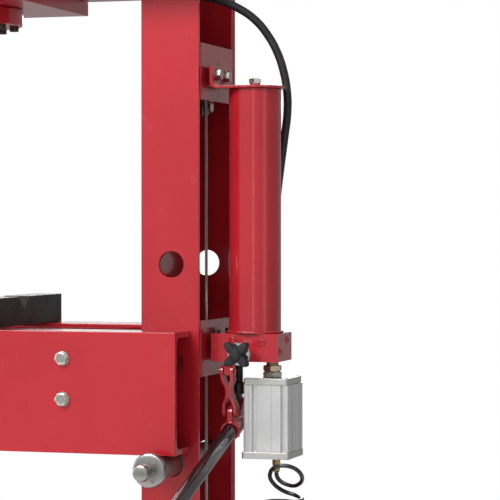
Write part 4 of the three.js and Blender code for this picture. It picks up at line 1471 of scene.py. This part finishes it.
@dataclass
class AirMotor:
    """The air motor under the pump block: two nuts, two caps, an extruded body and its fitting."""

    x: float = 553.0
    y: float = -21.0
    middle: Point = (553.0, -16.5)
    width: float = 78.0
    depth: float = 87.0
    body_low: float = 815.5
    body_high: float = 926.0
    fitting: Point = (558.0, -15.0)

    def build(self) -> None:
        """Makes every piece of the motor."""
        self.nuts()
        self.extrusion()
        self.cap("motor_head", (513.8, 590.0, -60.0, 27.0), self.body_high + 0.3, 937.0, "motor_cap_top")
        self.cap("motor_foot", (511.2, 592.5, -61.5, 29.0), 804.0, self.body_low - 0.3, "motor_cap_bottom")
        self.screws()
        self.inlet()

    def nuts(self) -> None:
        """The two nuts and the threaded neck between the block and the motor."""
        base = (self.x, self.y, 0)
        upper = Shape().hexagon(27.6, 947.2, 957.0, base, turn=4).thread(10.6, 956.5, 963.6, 1.6, base)
        upper.piece("neck_nut", YELLOW_ZINC, "frame", replaces=("upper_hex_nut",))
        lower = Shape().hexagon(31.0, 937.4, 946.6, base, turn=17)
        lower.lathe([(0, 946.4), (12.4, 946.4), (12.4, 947.0), (0, 947.0)], base, Z_AXIS, 48)
        lower.piece("lock_nut", ZINC, "frame", replaces=("lower_hex_nut",))

    def side(self, out: float, across: float) -> list[tuple[float, float]]:
        """One face of the extrusion's section: (out, across), with its channels and fine lines.

        Args:
            out: the face's distance from the middle.
            across: half the face's width.

        Returns:
            The face's points, in order across it.
        """
        plan = [(out - 2.6, 0.1 - across), (out - 0.8, 0.9 - across), (out, 2.6 - across)]
        for start, end, deep in ((-30.8, -29.0, 1.6), (-24.0, -16.0, 6.0), (9.0, 10.0, 0.9),
                                 (25.5, 31.0, 6.0)):
            lip = min(0.6, deep / 3)
            floor = out - deep
            plan += [(out, start - lip), (out - lip, start), (floor + lip, start), (floor, start + lip),
                     (floor, end - lip), (floor + lip, end), (out - lip, end), (out, end + lip)]
        return [*plan, (out, across - 2.6)]

    def extrusion(self) -> None:
        """The extruded body."""
        outline = []
        for turn in range(4):
            halves = (self.width / 2, self.depth / 2)
            out, across = halves[::-1] if turn % 2 else halves
            angle = math.radians(90 * turn)
            for x, y in self.side(out, across):
                outline.append((x * math.cos(angle) - y * math.sin(angle),
                                x * math.sin(angle) + y * math.cos(angle)))
        shape = Shape().prism(outline, (*self.middle, self.body_low), X_AXIS, Y_AXIS,
                              self.body_high - self.body_low)
        shape.piece("motor_extrusion", ALUMINIUM, "frame", 0.25, replaces=("air_motor_body",))

    def cap(self, name: str, sides: Sequence[float], low: float, high: float, node: str) -> None:
        """One of the motor's end caps, with rounded corners.

        Args:
            name: the piece's name.
            sides: its left, right, front and rear.
            low: its underside.
            high: its top.
            node: the CAD node that it stands for.
        """
        corner = 4.0
        left, right, front, rear = sides
        outline = []
        for start, x, y in ((0, right - corner, rear - corner), (90, left + corner, rear - corner),
                            (180, left + corner, front + corner), (270, right - corner, front + corner)):
            outline += arc((x, y), corner, start, start + 90, 6)
        shape = Shape().prism(outline, (0, 0, low), X_AXIS, Y_AXIS, high - low)
        shape.piece(name, CAST, "frame", 0.7, replaces=(node,))

    def screws(self) -> None:
        """Long screws through the caps' corners, their socket heads just proud of the bottom cap."""
        shape = Shape()
        for sx in (-1, 1):
            for sy in (-1, 1):
                place = (self.middle[0] + sx * 32.0, self.middle[1] + sy * 36.0, 0.0)
                shape.lathe([(0, 804.3), (1.9, 804.3), (2.2, 803.6), (4.2, 803.4), (4.6, 803.7), (4.6, 804.4),
                             (0, 804.4)],
                            place, Z_AXIS, 36)
                shape.lathe([(0, 936.6), (4.6, 936.6), (4.5, 937.2), (2.4, 937.3), (2.1, 936.9), (0, 936.9)],
                            place, Z_AXIS, 36)
        shape.piece("motor_screws", DARK_STEEL, "frame")

    def inlet(self) -> None:
        """The brass inlet with its push-in collar."""
        x, y = self.fitting
        shape = Shape().hexagon(12, 790.4, 803.7, (x, y, 0))
        shape.lathe([(3.7, 781.4), (5.8, 781.4), (6.0, 782.0), (6.0, 790.0), (5.5, 790.8), (3.7, 790.8)],
                    (x, y, 0),
                    Z_AXIS, 48, loop=True)
        shape.piece("air_inlet_body", BRASS, "frame", replaces=("air_inlet_fitting",))
        ring = Shape().lathe([(3.65, 778.9), (4.6, 778.9), (5.3, 779.5), (5.3, 780.2), (4.4, 780.7),
                              (4.4, 782.6),
                              (3.65, 782.6)], (x, y, 0), Z_AXIS, 48, loop=True)
        ring.piece("air_inlet_collar", GREY_PLASTIC, "frame")


@dataclass
class AirValve:
    """The foot-height air valve on the column: its plate, body, port, muffler and paddle."""

    body_low: Point = (456.6, -36.0, 606.0)
    body_high: Point = (536.0, -4.0, 640.0)
    port: Point = (521.0, -20.0)
    pivot: Point = (542.0, -20.0, 640.0)

    def build(self) -> None:
        """Makes the plate, the valve's body with its fittings, and the paddle."""
        shell("valve_plate", RED, 1.0)
        low, high = self.body_low, self.body_high
        body = Shape().block(low, high)
        for y in (-30.0, -10.0):
            ear = [(528.0, 627.0), (540.0, 626.0), *arc((542.0, 640.0), 6.0, -60, 90, 8), (534.0, 644.0),
                   (528.0, 640.5)]
            body.prism(ear, (0, y + 2.0, 0), X_AXIS, Z_AXIS, 4.0)
        body.piece("air_valve_body", CAST, "frame", 1.0, replaces=("air_valve",))
        screws = Shape()
        for y, z in ((-31.0, 611.0), (-31.0, 635.0), (-9.0, 611.0), (-9.0, 635.0)):
            screws.lathe([(0, 0.02), (3.6, 0.02), (3.6, 2.6), (3.1, 3.1), (1.6, 3.1), (1.5, 1.4), (0, 1.2)],
                         (high[0], y, z), X_AXIS, 30)
        screws.rod(2.5, -35.5, -4.5, (self.pivot[0], 0, self.pivot[2]), Y_AXIS, 0.4, 24)
        screws.piece("air_valve_screws", DARK_STEEL, "frame")
        fitting = Shape().hexagon(12, 640.1, 645.5, (*self.port, 0))
        fitting.lathe([(3.2, 645.2), (5.8, 645.2), (5.8, 649.6), (5.2, 650.2), (3.2, 650.2)], (*self.port, 0),
                      Z_AXIS, 48,
                      loop=True)
        fitting.hexagon(15, -3.9, 4.0, (490.0, 0, 622.0), Y_AXIS)
        fitting.piece("air_valve_fittings", BRASS, "frame")
        collar = Shape().lathe([(3.15, 650.0), (4.4, 650.0), (4.4, 651.2), (5.2, 651.6), (5.2, 652.3),
                                (3.15, 652.4)],
                               (*self.port, 0), Z_AXIS, 48, loop=True)
        collar.piece("air_valve_collar", GREY_PLASTIC, "frame")
        muffler = [(0, 4.0), (5.0, 4.0)]
        for k in range(4):
            muffler += [(6.2, 5.0 + 2.1 * k), (5.3, 6.2 + 2.1 * k)]
        muffler += [(5.0, 13.4), (3.2, 14.0), (0, 14.0)]
        Shape().lathe(muffler, (490.0, 0, 622.0), Y_AXIS, 48).piece("air_valve_muffler", BRASS, "frame")
        self.paddle()

    def paddle(self) -> None:
        """The pressed paddle that opens the valve."""
        x, _, z = self.pivot
        outline = [(x - 4, z + 5), (x + 3.6, z + 5), (x + 5.2, z + 1), (x + 5, z - 60), (x + 12, z - 78),
                   (x + 9.4, z - 80),
                   (x + 1.4, z - 62), (x - 1, z - 8), (x - 4, z - 3)]
        shape = Shape().prism(outline, (0, -12.5, 0), X_AXIS, Z_AXIS, 15.0)
        shape.piece("valve_paddle", BLACK_PAINT, "valve_lever", 0.9, replaces=("valve_lever",))


# ---------------------------------------------------------------- frame
@dataclass
class Column:
    """The two uprights on their feet, with the tie between the feet, their bolts and welds."""

    foot_inner: float = 340.0
    web_outer: float = 360.0
    pin_x: float = 402.0
    gusset_start: float = 100.3
    sole_weld: float = 250.0
    flange_weld: float = 280.0

    def build(self) -> None:
        """Makes the uprights, feet and tie, then what holds them together."""
        for side, _ in SIDES:
            shell(f"upright_{side}", RED, 1.4, 50.0)
            shell(f"foot_{side}", RED, 1.2)
        shell("base_tie", RED, 1.2)
        self.bolts()
        self.welds()

    def bolts(self) -> None:
        """Bolts through each foot's leg into the upright's web, and through the foot's sole."""
        shape = Shape()
        for _, side in SIDES:
            for y in (-55.0, 55.0):
                for z in (42.0, 78.0):
                    M12.bolt(shape, (side * (self.foot_inner - 0.1), y, z), (-side, 0, 0), 7 * z)
                    M12.nut(shape, (side * (self.web_outer + 0.1), y, z), (side, 0, 0), 6.0, 5 * z)
        shape.piece("foot_bolts", ZINC, "frame")
        anchors = Shape()
        for _, side in SIDES:
            for y in (-372.0, 372.0):
                M12.nut(anchors, (side * self.pin_x, y, 10.1), Z_AXIS, 5.0, 11 + y)
        anchors.piece("floor_anchor_nuts", ZINC, "frame")

    def welds(self) -> None:
        """Fillet welds along the gussets, on the soles and against the uprights."""
        shape = Shape()
        for _, side in SIDES:
            for end in (-1, 1):
                for offset in (-6.2, 6.2):
                    x = side * self.pin_x + offset
                    start = end * (self.gusset_start + 3)
                    shape.bead([(x, start + end * self.sole_weld * k / 10, 10.9) for k in range(11)], 2.4)
                    shape.bead([(x, end * (self.gusset_start + 0.6), 14.0 + self.flange_weld * k / 10)
                                for k in range(11)], 2.2)
        shape.piece("gusset_welds", RED_BEAD, "frame")


@dataclass
class Crown:
    """The two crown beams bolted across the uprights and the saddle that carries the cylinder."""

    web_face: float = 111.0
    flange_inner: float = 90.0
    bolt_rows: tuple[float, float] = (1642.0, 1738.0)
    bolt_columns: tuple[float, float] = (388.0, 428.0)

    def build(self) -> None:
        """Makes the beams, the saddle and their bolts."""
        for node in ("crown_beam_front", "crown_beam_rear"):
            shell(node, RED, 1.4, 50.0)
        shell("crown_saddle", RED, 1.2)
        shape = Shape()
        for _, side in SIDES:
            for x in self.bolt_columns:
                for z in self.bolt_rows:
                    for face in (-1, 1):
                        M20.bolt(shape, (side * x, face * (self.web_face + 0.1), z), (0, face, 0), x + z)
                        M20.nut(shape, (side * x, face * (self.flange_inner - 0.1), z), (0, -face, 0), 6.0,
                                z - x)
        shape.piece("crown_bolts", ZINC, "frame")
        welds = Shape()
        for face in (-1, 1):
            welds.bead([(-140 + 14 * k, face * 176.4, 1589.8) for k in range(21)], 2.6)
        welds.piece("saddle_welds", RED_BEAD, "frame")


@dataclass
class Ram:
    """The hydraulic cylinder hung in the saddle, its rod and the pad on the rod."""

    radius: float = 64.0
    flange: float = 90.0
    bottom: float = 1535.0
    flange_top: float = 1564.7
    top: float = 1822.0
    port_height: float = 1660.0
    rod: float = 35.0
    pad_bottom: float = 1425.0

    def build(self) -> None:
        """Makes the cylinder, its screws and seal, the rod and the pad."""
        r, f, b = self.radius, self.flange, self.bottom
        profile = [(40.5, b), (f - 5, b), (f - 1.4, b + 1), (f, b + 4), (f, self.flange_top - 1.5),
                   (f - 1.5, self.flange_top),
                   (r + 1.2, self.flange_top), (r, self.flange_top + 1.5), (r, self.flange_top + 40),
                   (r, self.top - 60),
                   (r, self.top - 30), (r - 1.2, self.top - 28.6), (r - 1.2, self.top - 26.4),
                   (r, self.top - 25),
                   (r, self.top - 8), (r - 1.6, self.top - 3), (r - 6, self.top - 0.2), (20, self.top - 0.2),
                   (19, self.top - 1.4), (0, self.top - 1.4)]
        profile = [(40.5, 1560.0), *profile]
        shape = Shape().lathe([(0, 1560.0), *profile], (0, 0, 0), Z_AXIS, 128)
        shape.lathe([(0, r - 4), (13.2, r - 4), (14, r + 1), (14, r + 9), (13.2, r + 10), (0, r + 10)],
                    (0, 0, self.port_height), X_AXIS, 64)
        shape.piece("cylinder_body", RED, "frame", crease=30, replaces=("ram_cylinder",))
        gland = Shape().lathe([(self.rod + 0.6, b + 0.6), (40.2, b + 0.6), (40.2, b - 0.2), (39, b - 1.0),
                               (self.rod + 2, b - 1.0),
                               (self.rod + 0.6, b - 0.2)], (0, 0, 0), Z_AXIS, 96, loop=True)
        gland.piece("rod_wiper", RUBBER, "frame")
        screws = Shape()
        for k in range(8):
            angle = math.radians(22.5 + 45 * k)
            place = (74 * math.cos(angle), 74 * math.sin(angle), b)
            screws.lathe([(0, -0.02), (7.8, -0.02), (8, -0.6), (8, -7.4), (7.3, -8), (4.4, -8), (4.1, -7.6),
                          (4.0, -4), (0, -3.6)],
                         place, Z_AXIS, 36)
        screws.piece("cylinder_screws", DARK_STEEL, "frame")
        rod = [(0, 1450.4), (self.rod - 1.5, 1450.4), (self.rod, 1452), (self.rod, 1500), (self.rod, 1600),
               (self.rod, 1735),
               (self.rod - 4, 1739.8), (0, 1739.8)]
        Shape().lathe(rod, (0, 0, 0), Z_AXIS, 96).piece("piston_rod", CHROME, "ram", replaces=("ram_rod",))
        low = self.pad_bottom
        pad = [(0, low), (41, low), (42.2, low + 0.6), (44.4, low + 0.6), (47, low + 3), (47, low + 9.2),
               (46, low + 10),
               (46, low + 12.4), (47, low + 13.2), (47, low + 22), (44, low + 25), (0, low + 25)]
        shape = Shape().lathe(pad, (0, 0, 0), Z_AXIS, 96)
        shape.piece("pressing_pad", STEEL_UP, "ram", crease=25, replaces=("ram_pad",))
        grub = Shape().lathe([(0, 45.8), (2.2, 45.8), (2.2, 47.0), (3.4, 47.1), (3.8, 46.4), (3.8, 44),
                              (0, 44)],
                             (0, 0, low + 17.6), (0, -1, 0), 30)
        grub.piece("pad_grub_screw", DARK_STEEL, "ram")


@dataclass
class Gauge:
    """The pressure gauge on top of the cylinder."""

    height: float = 1900.3
    stem_bottom: float = 1822.3
    start: float = 225.0
    sweep: float = 270.0
    divisions: int = 30

    def build(self) -> None:
        """Makes the case, the dial with its scale, the glass and the needle."""
        hub = (0.0, 0.0, self.height)
        case = [(0, -6.0), (43.8, -6.0), (43.8, -13.2), (44.6, -13.2), (44.6, -15.4), (45.2, -16.8),
                (47.0, -17.9),
                (48.6, -17.6), (49.8, -16.2), (50.0, -14.2), (50.0, -9.0), (49.0, -8.2), (49.0, 12.5),
                (48.0, 15.6),
                (45.4, 17.8), (0, 17.9)]
        shape = Shape().lathe(case, hub, Y_AXIS, 128)
        shape.piece("gauge_housing", BLACK_PAINT, "frame", crease=28, replaces=("gauge_case",))
        bezel = [(44.3, -13.3), (44.3, -15.6), (45.0, -17.1), (47.0, -18.0), (48.8, -17.7), (50.0, -16.2),
                 (50.0, -9.4),
                 (49.2, -9.4), (49.2, -13.3)]
        Shape().lathe(bezel, hub, Y_AXIS, 128, loop=True).piece("gauge_bezel", CHROME, "frame", crease=50)
        stem = Shape().hexagon(18, self.stem_bottom + 6.5, self.stem_bottom + 18, (0, 0, 0))
        stem.thread(6.2, self.stem_bottom + 0.1, self.stem_bottom + 7, 1.3, (0, 0, 0))
        stem.rod(7.2, self.stem_bottom + 17, self.height - 46, (0, 0, 0))
        stem.piece("gauge_stem", BRASS, "frame")
        dial = Shape().lathe([(0, -6.02), (43.4, -6.02), (43.4, -6.2), (0, -6.2)], hub, Y_AXIS, 96)
        dial.piece("gauge_dial", DIAL, "frame")
        self.scale(hub)
        self.figures()
        glass = Shape().lathe([(0, -13.5), (44.2, -13.5), (44.2, -15.2), (0, -15.2)], hub, Y_AXIS, 96)
        glass.piece("gauge_lens", GLASS, "frame")
        self.needle(hub)

    def direction(self, share: float) -> Vector:
        """The direction on the dial of a share of the full scale."""
        angle = math.radians(self.start - self.sweep * share)
        return Vector((math.cos(angle), 0.0, math.sin(angle)))

    def scale(self, hub: Point) -> None:
        """The scale's marks, long ones at every fifth division.

        Args:
            hub: the dial's middle.
        """
        shape = Shape()
        for k in range(self.divisions + 1):
            long = k % 5 == 0
            out = self.direction(k / self.divisions)
            across = Vector((-out.z, 0.0, out.x))
            inner, half = (33.0, 0.55) if long else (36.5, 0.25)
            outline = [(inner, -half), (40.0, -half), (40.0, half), (inner, half)]
            shape.prism(outline, Vector(hub) + Vector((0, -6.2, 0)), out, across, 0.15)
        shape.piece("gauge_scale", BLACK_PLASTIC, "frame")

    def figures(self) -> None:
        """Plain numbers beside the long marks."""
        for k in range(0, self.divisions + 1, 5):
            data = bpy.data.curves.new(f"figure_{k}", "FONT")
            data.body = str(k)
            data.size = 8.2 * MM
            data.extrude = 0.06 * MM
            data.align_x = data.align_y = "CENTER"
            text = placed(f"figure_{k}_text", data)
            mesh = bpy.data.meshes.new_from_object(text)
            bpy.data.objects.remove(text)
            out = self.direction(k / self.divisions) * 26.5
            place = MIDDLE + Vector((out.x, -6.3, self.height + out.z)) * MM
            mesh.transform(Matrix.Translation(place) @ Matrix.Rotation(math.radians(90), 4, "X"))
            made = placed(f"gauge_figure_{k}", mesh)
            dress(made, BLACK_PLASTIC, 0.0)
            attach(made, "frame")

    def needle(self, hub: Point) -> None:
        """The needle with its counterweight and hub.

        Args:
            hub: the dial's middle.
        """
        out = self.direction(0.0)
        across = Vector((-out.z, 0.0, out.x))
        outline = [(-9.6, -1.2), (-5, -1.7), (30, -0.8), (37.0, -0.15), (37.0, 0.15), (30, 0.8), (-5, 1.7),
                   (-9.6, 1.2)]
        shape = Shape().prism(outline, Vector(hub) + Vector((0, -9.2, 0)), out, across, 0.7)
        shape.lathe([(0, -6.4), (3.6, -6.4), (3.9, -6.8), (3.9, -10.3), (3.2, -10.9), (0, -10.9)], hub,
                    Y_AXIS, 48)
        shape.piece("gauge_pointer", BLACK_PLASTIC, "gauge_needle", replaces=("gauge_needle",))


# ---------------------------------------------------------------- bed
@dataclass
class Bed:
    """The bed's two beams with their spacers, pulleys and bolts, the pins and the press blocks."""

    web_face: float = 176.0
    spacer_x: float = 240.0
    bolt_rows: tuple[float, float] = (905.0, 972.0)
    pulley_x: float = PULLEY_X
    pulley_z: float = PULLEY_Z
    pin_x: float = 402.0
    pin_z: float = 796.0

    def build(self) -> None:
        """Makes every piece of the bed."""
        for node in ("bed_beam_front", "bed_beam_rear"):
            shell(node, RED, 1.4, 50.0)
        bolts = Shape()
        for label, side in SIDES:
            shell(f"bed_spacer_{label}", RED, 0.9)
            for z in self.bolt_rows:
                for face in (-1, 1):
                    M12.bolt(bolts, (side * self.spacer_x, face * (self.web_face + 0.1), z), (0, face, 0),
                             z * side)
            for face in (-1, 1):
                bolts.lathe(AXLE_END, (side * self.pulley_x, 0, self.pulley_z), (0, face, 0), 48)
            grooved(f"bed_wheel_{label}", (side * self.pulley_x, 0, self.pulley_z), 30.0, 37.0, 6.4,
                    f"bed_pulley_{label}", f"bed_pulley_{label}", 0)
            self.pin(label, side)
            shell(f"press_block_{label}", SCALE, 1.2)
        bolts.piece("bed_bolts", ZINC, "bed")

    def pin(self, label: str, side: int) -> None:
        """One of the bed's pins: a shouldered bar with a turned knob.

        Args:
            label: right or left.
            side: 1 or -1.
        """
        profile = [(0, -252), (9.5, -252), (12.4, -250.6), (14, -247.4), (14, -239), (12.6, -235.4),
                   (8.6, -233.6),
                   (8, -231), (8, -214), (9.2, -212.2), (23, -212), (26.6, -210.6), (28, -207.6), (28, -201),
                   (27.2, -200.2), (20.6, -200), (20, -199.4), (20, -150), (20, -50), (20, 50), (20, 150),
                   (20, 187),
                   (15.4, 193.8), (0, 194)]
        shape = Shape().lathe(profile, (side * self.pin_x, 0, self.pin_z), Y_AXIS, 72)
        shape.piece(f"bed_lock_pin_{label}", STEEL, f"bed_pin_{label}", crease=28,
                    replaces=(f"bed_pin_{label}",))


def grooved(name: str, hub: Point, groove: float, rim: float, bore: float, body: str, node: str,
            holes: int) -> None:
    """A rope wheel with a round groove, a boss and a dished web.

    Args:
        name: the piece's name.
        hub: its middle.
        groove: the radius at the groove's bottom.
        rim: the outer radius.
        bore: the axle hole's radius.
        body: the CAD body that it turns with.
        node: the CAD node that it stands for.
        holes: how many lightening bosses its web shows.
    """
    half = [(bore, 6.9), (bore + 6, 6.9), (bore + 7, 6.2), (bore + 8, 4.0), (groove - 6, 4.0),
            (groove - 4.4, 5.6),
            (groove - 3, 6.6), (rim - 0.8, 6.9), (rim, 6.2), (rim, 5.6), (groove + 2.6, 3.2),
            (groove + 0.9, 2.0),
            (groove, 0.0)]
    profile = half + [(r, -y) for r, y in reversed(half[:-1])]
    shape = Shape().lathe(profile, hub, Y_AXIS, 96, loop=True)
    for k in range(holes):
        angle = 2 * math.pi * k / holes
        reach = (groove + bore) / 2 + 1
        place = (hub[0] + reach * math.cos(angle), hub[1], hub[2] + reach * math.sin(angle))
        shape.washer(5.2, 3.4, -4.6, 4.6, place, Y_AXIS, 0.5)
    shape.piece(name, ZINC, body, crease=30, replaces=(node,))


# ---------------------------------------------------------------- hoist
@dataclass
class WireRope:
    """A six-strand wire rope."""

    radius: float = 2.5
    strands: int = 6
    lay: float = 30.0
    step: float = 2.5

    def lay_along(self, shape: Shape, points: Sequence[Point]) -> None:
        """Twists the strands round their core along a line.

        Args:
            shape: what to add them to.
            points: the rope's centreline.
        """
        line = curve_through(points, self.step)
        strand = self.radius * 0.335
        offset = self.radius - strand
        for k in range(self.strands):
            phase = 2 * math.pi * k / self.strands

            def around(travelled: float, phase: float = phase) -> tuple[float, float]:
                """Where this strand lies round the core after that length."""
                turn = phase + 2 * math.pi * travelled / self.lay
                return offset * math.cos(turn), offset * math.sin(turn)

            shape.sweep(line, strand * 1.04, 6, around)
        shape.sweep(line, offset * 0.8, 8)


@dataclass
class Hoist:
    """The rope that lifts the bed: top sheave, rope runs, anchor, and the hand winch."""

    rope_x: float = 430.3
    inner_x: float = 323.7
    sheave_x: float = 377.0
    sheave_z: float = 1448.0
    turn_radius: float = 53.3
    pulley_x: float = PULLEY_X
    pulley_z: float = PULLEY_Z
    pulley_turn: float = 33.3
    anchor_z: float = 1440.0
    drum_x: float = 457.1
    drum_z: float = 500.0
    crank: Point = (491.5, 559.58)
    module: float = 1.965

    def build(self) -> None:
        """Makes every piece of the hoist."""
        grooved("head_sheave", (self.sheave_x, 0, self.sheave_z), 50.0, 57.0, 6.4, "top_sheave", "top_sheave",
                6)
        shell("sheave_bracket", ZINC, 0.5)
        shell("rope_anchor", ZINC, 0.6)
        self.bracket_bolts()
        self.rope_runs()
        self.rope_end()
        shell("winch_frame", ZINC, 0.7)
        self.drum()
        self.crank_handle()

    def bracket_bolts(self) -> None:
        """Bolts of the sheave's bracket, the anchor and the winch, and the sheave's axle ends."""
        shape = Shape()
        for y in (-27.0, 27.0):
            for z in (self.sheave_z - 40, self.sheave_z + 18):
                M8.bolt(shape, (364.4, y, z), X_AXIS, 13 * y + z)
        for face in (-1, 1):
            shape.lathe(AXLE_END, (self.sheave_x, 0, self.sheave_z), (0, face, 0), 48)
            for z in (self.drum_z - 26, self.drum_z + 56):
                M10.bolt(shape, (366.4, face * 36.0, z), X_AXIS, z)
            M8.bolt(shape, (-342.8, face * 20.0, self.anchor_z + 50), X_AXIS, 30 * face)
        shape.piece("hoist_bolts", ZINC, "frame")

    def rope_runs(self) -> None:
        """The rope's runs: to the winch, down to the bed on both sides, and under the bed."""
        rope = WireRope()
        winch = [(self.rope_x, 0, self.drum_z + 4 + 59.2 * k) for k in range(17)]
        turn = [(x, 0, z) for x, z in arc((self.sheave_x, self.sheave_z), self.turn_radius, 0, 180, 20)]
        run = Shape()
        rope.lay_along(run, [*winch[:-1], *turn])
        run.piece("rope_to_winch", ROPE, "frame", crease=60, replaces=("rope_winch_run",))
        for label, x, top in (("right", self.inner_x, self.sheave_z - 0.6),
                              ("left", -self.inner_x, self.anchor_z - 0.3)):
            shape = Shape()
            low = self.pulley_z + 0.6
            rope.lay_along(shape, [(x, 0, low + (top - low) * k / 10) for k in range(11)])
            made = shape.piece(f"rope_down_{label}", ROPE, "frame", crease=60,
                               replaces=(f"rope_{label}_run",))
            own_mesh(made)
        right = [(x, 0, z) for x, z in arc((self.pulley_x, self.pulley_z), self.pulley_turn, 0, -90, 10)]
        left = [(-x, 0, z) for x, _, z in reversed(right)]
        middle = [(self.pulley_x - 2 * self.pulley_x * k / 12, 0, self.pulley_z - self.pulley_turn)
                  for k in range(1, 12)]
        under = Shape()
        rope.lay_along(under, [*right, *middle, *left])
        under.piece("rope_below_bed", ROPE, "bed", crease=60, replaces=("rope_under_bed",))

    def rope_end(self) -> None:
        """The swaged stud that ends the rope in its anchor."""
        base = (-self.inner_x, 0, 0)
        shape = Shape().thread(3.8, self.anchor_z - 26, self.anchor_z + 30, 1.1, base)
        shape.lathe([(2.7, self.anchor_z - 62), (4.6, self.anchor_z - 61), (5.0, self.anchor_z - 58),
                     (5.0, self.anchor_z - 27), (4.4, self.anchor_z - 25), (0, self.anchor_z - 25)], base,
                    Z_AXIS, 48)
        for low in (6.2, 13.2):
            shape.hexagon(13, self.anchor_z + low, self.anchor_z + low + 6.3, base, Z_AXIS, turn=5 * low)
        shape.piece("rope_stud", ZINC, "frame")

    def toothed(self, teeth: int, phase: float) -> list[tuple[float, float]]:
        """A spur gear's outline about its own middle.

        Args:
            teeth: the number of teeth.
            phase: the angle in degrees of one tooth's middle.

        Returns:
            The outline's points.
        """
        pitch = teeth * self.module / 2
        tip, root = pitch + self.module * 0.92, pitch - self.module * 1.1
        points = []
        for k in range(teeth):
            middle = math.radians(phase + 360 * k / teeth)
            width = 2 * math.pi / teeth
            for share, reach in ((-0.36, root), (-0.25, pitch), (-0.12, tip), (0.12, tip), (0.25, pitch),
                                 (0.36, root)):
                angle = middle + share * width
                points.append((reach * math.cos(angle), reach * math.sin(angle)))
        return points

    def drum(self) -> None:
        """The drum with its flanges, gear and the rope's turns on it."""
        hub = (self.drum_x, 0.0, self.drum_z)
        profile = [(0, -67.8), (7.2, -67.8), (8, -67.2), (8, -64.2), (22, -64.2), (22, -63.4), (50, -63.0),
                   (50, -57.0), (22, -56.6),
                   (22, -55.9), (8, -55.9), (8, -45.2), (44.6, -45), (46, -44.2), (46, -41), (44.6, -40),
                   (24.6, -40),
                   (24, -39.4), (24, 39.4), (24.6, 40), (44.6, 40), (46, 41), (46, 44.2), (44.6, 45),
                   (8, 45.2), (8, 57.4),
                   (7.2, 58), (0, 58)]
        shape = Shape().lathe(profile, hub, Y_AXIS, 96)
        gear = self.toothed(55, 60.0)
        shape.prism([(x, z) for x, z in gear], (hub[0], -56.2, hub[2]), X_AXIS, Z_AXIS, 7.6)
        shape.piece("hoist_drum", ZINC, "winch_drum", 0.25, crease=28, replaces=("winch_drum",))
        wraps = Shape()
        reach = 24.0 + 2.6
        turns, steps = 7, 24
        path = []
        for k in range(turns * steps + 1):
            angle = math.radians(180 - 360 * k / steps)
            path.append((hub[0] + reach * math.cos(angle), -0.2 - 5.2 * k / steps,
                         hub[2] + reach * math.sin(angle)))
        WireRope(step=3.5).lay_along(wraps, path)
        wraps.piece("rope_on_drum", ROPE, "winch_drum", crease=60)

    def crank_handle(self) -> None:
        """The crank: its shaft and pinion, the arm and the turning grip."""
        x, z = self.crank
        hub = (x, 0.0, z)
        shaft = [(0, -139.8), (6.2, -139.8), (7, -139), (7, 57.4), (6.2, 58), (0, 58)]
        shape = Shape().lathe(shaft, hub, Y_AXIS, 60)
        pinion = self.toothed(15, 240.0 + 180.0 / 15)
        shape.prism(pinion, (x, -55.0, z), X_AXIS, Z_AXIS, 10.0)
        arm = arc((x, z), 10.5, 0, 180, 14) + arc((x, z - 130), 8.6, 180, 360, 14)
        shape.prism(arm, (0, -130.0, 0), X_AXIS, Z_AXIS, 8.0)
        shape.lathe([(0, -146), (6.0, -146), (6.0, -131), (0, -131)], (x, 0, z - 130), Y_AXIS, 48)
        shape.hexagon(13, -147.0, -138.2, hub, Y_AXIS, turn=8)
        shape.piece("crank_arm", ZINC, "winch_crank", 0.5, crease=28, replaces=("winch_crank",))
        grip = [(0, -231.6), (8.6, -231.6), (11.6, -230.4), (13.4, -227.4), (13.8, -223), (12.9, -206),
                (11.9, -182), (12.7, -162),
                (13.9, -150.5), (13.2, -147.6), (10.6, -146.2), (0, -146.2)]
        smooth = [(point.x, point.y) for point in curve_through([(r, y, 0) for r, y in grip[3:9]], 2.5)]
        Shape().lathe([*grip[:3], *smooth, *grip[9:]], (x, 0, z - 130), Y_AXIS, 60).piece(
            "crank_grip", BLACK_PLASTIC, "winch_crank")


def main() -> None:
    """Builds the studio and the press, piece by piece, and keeps the two boxes for comparison."""
    Studio().build()
    for assembly in (HydraulicHose(), AirLine(), PumpMount(), ReleaseValve(), PumpLever(), AirMotor(),
                     AirValve(),
                     Column(), Crown(), Ram(), Gauge(), Bed(), Hoist()):
        LOG.info("%s", type(assembly).__doc__)
        assembly.build()


if __name__ == "__main__":
    logging.basicConfig(level=logging.INFO, format="%(message)s")
    main()
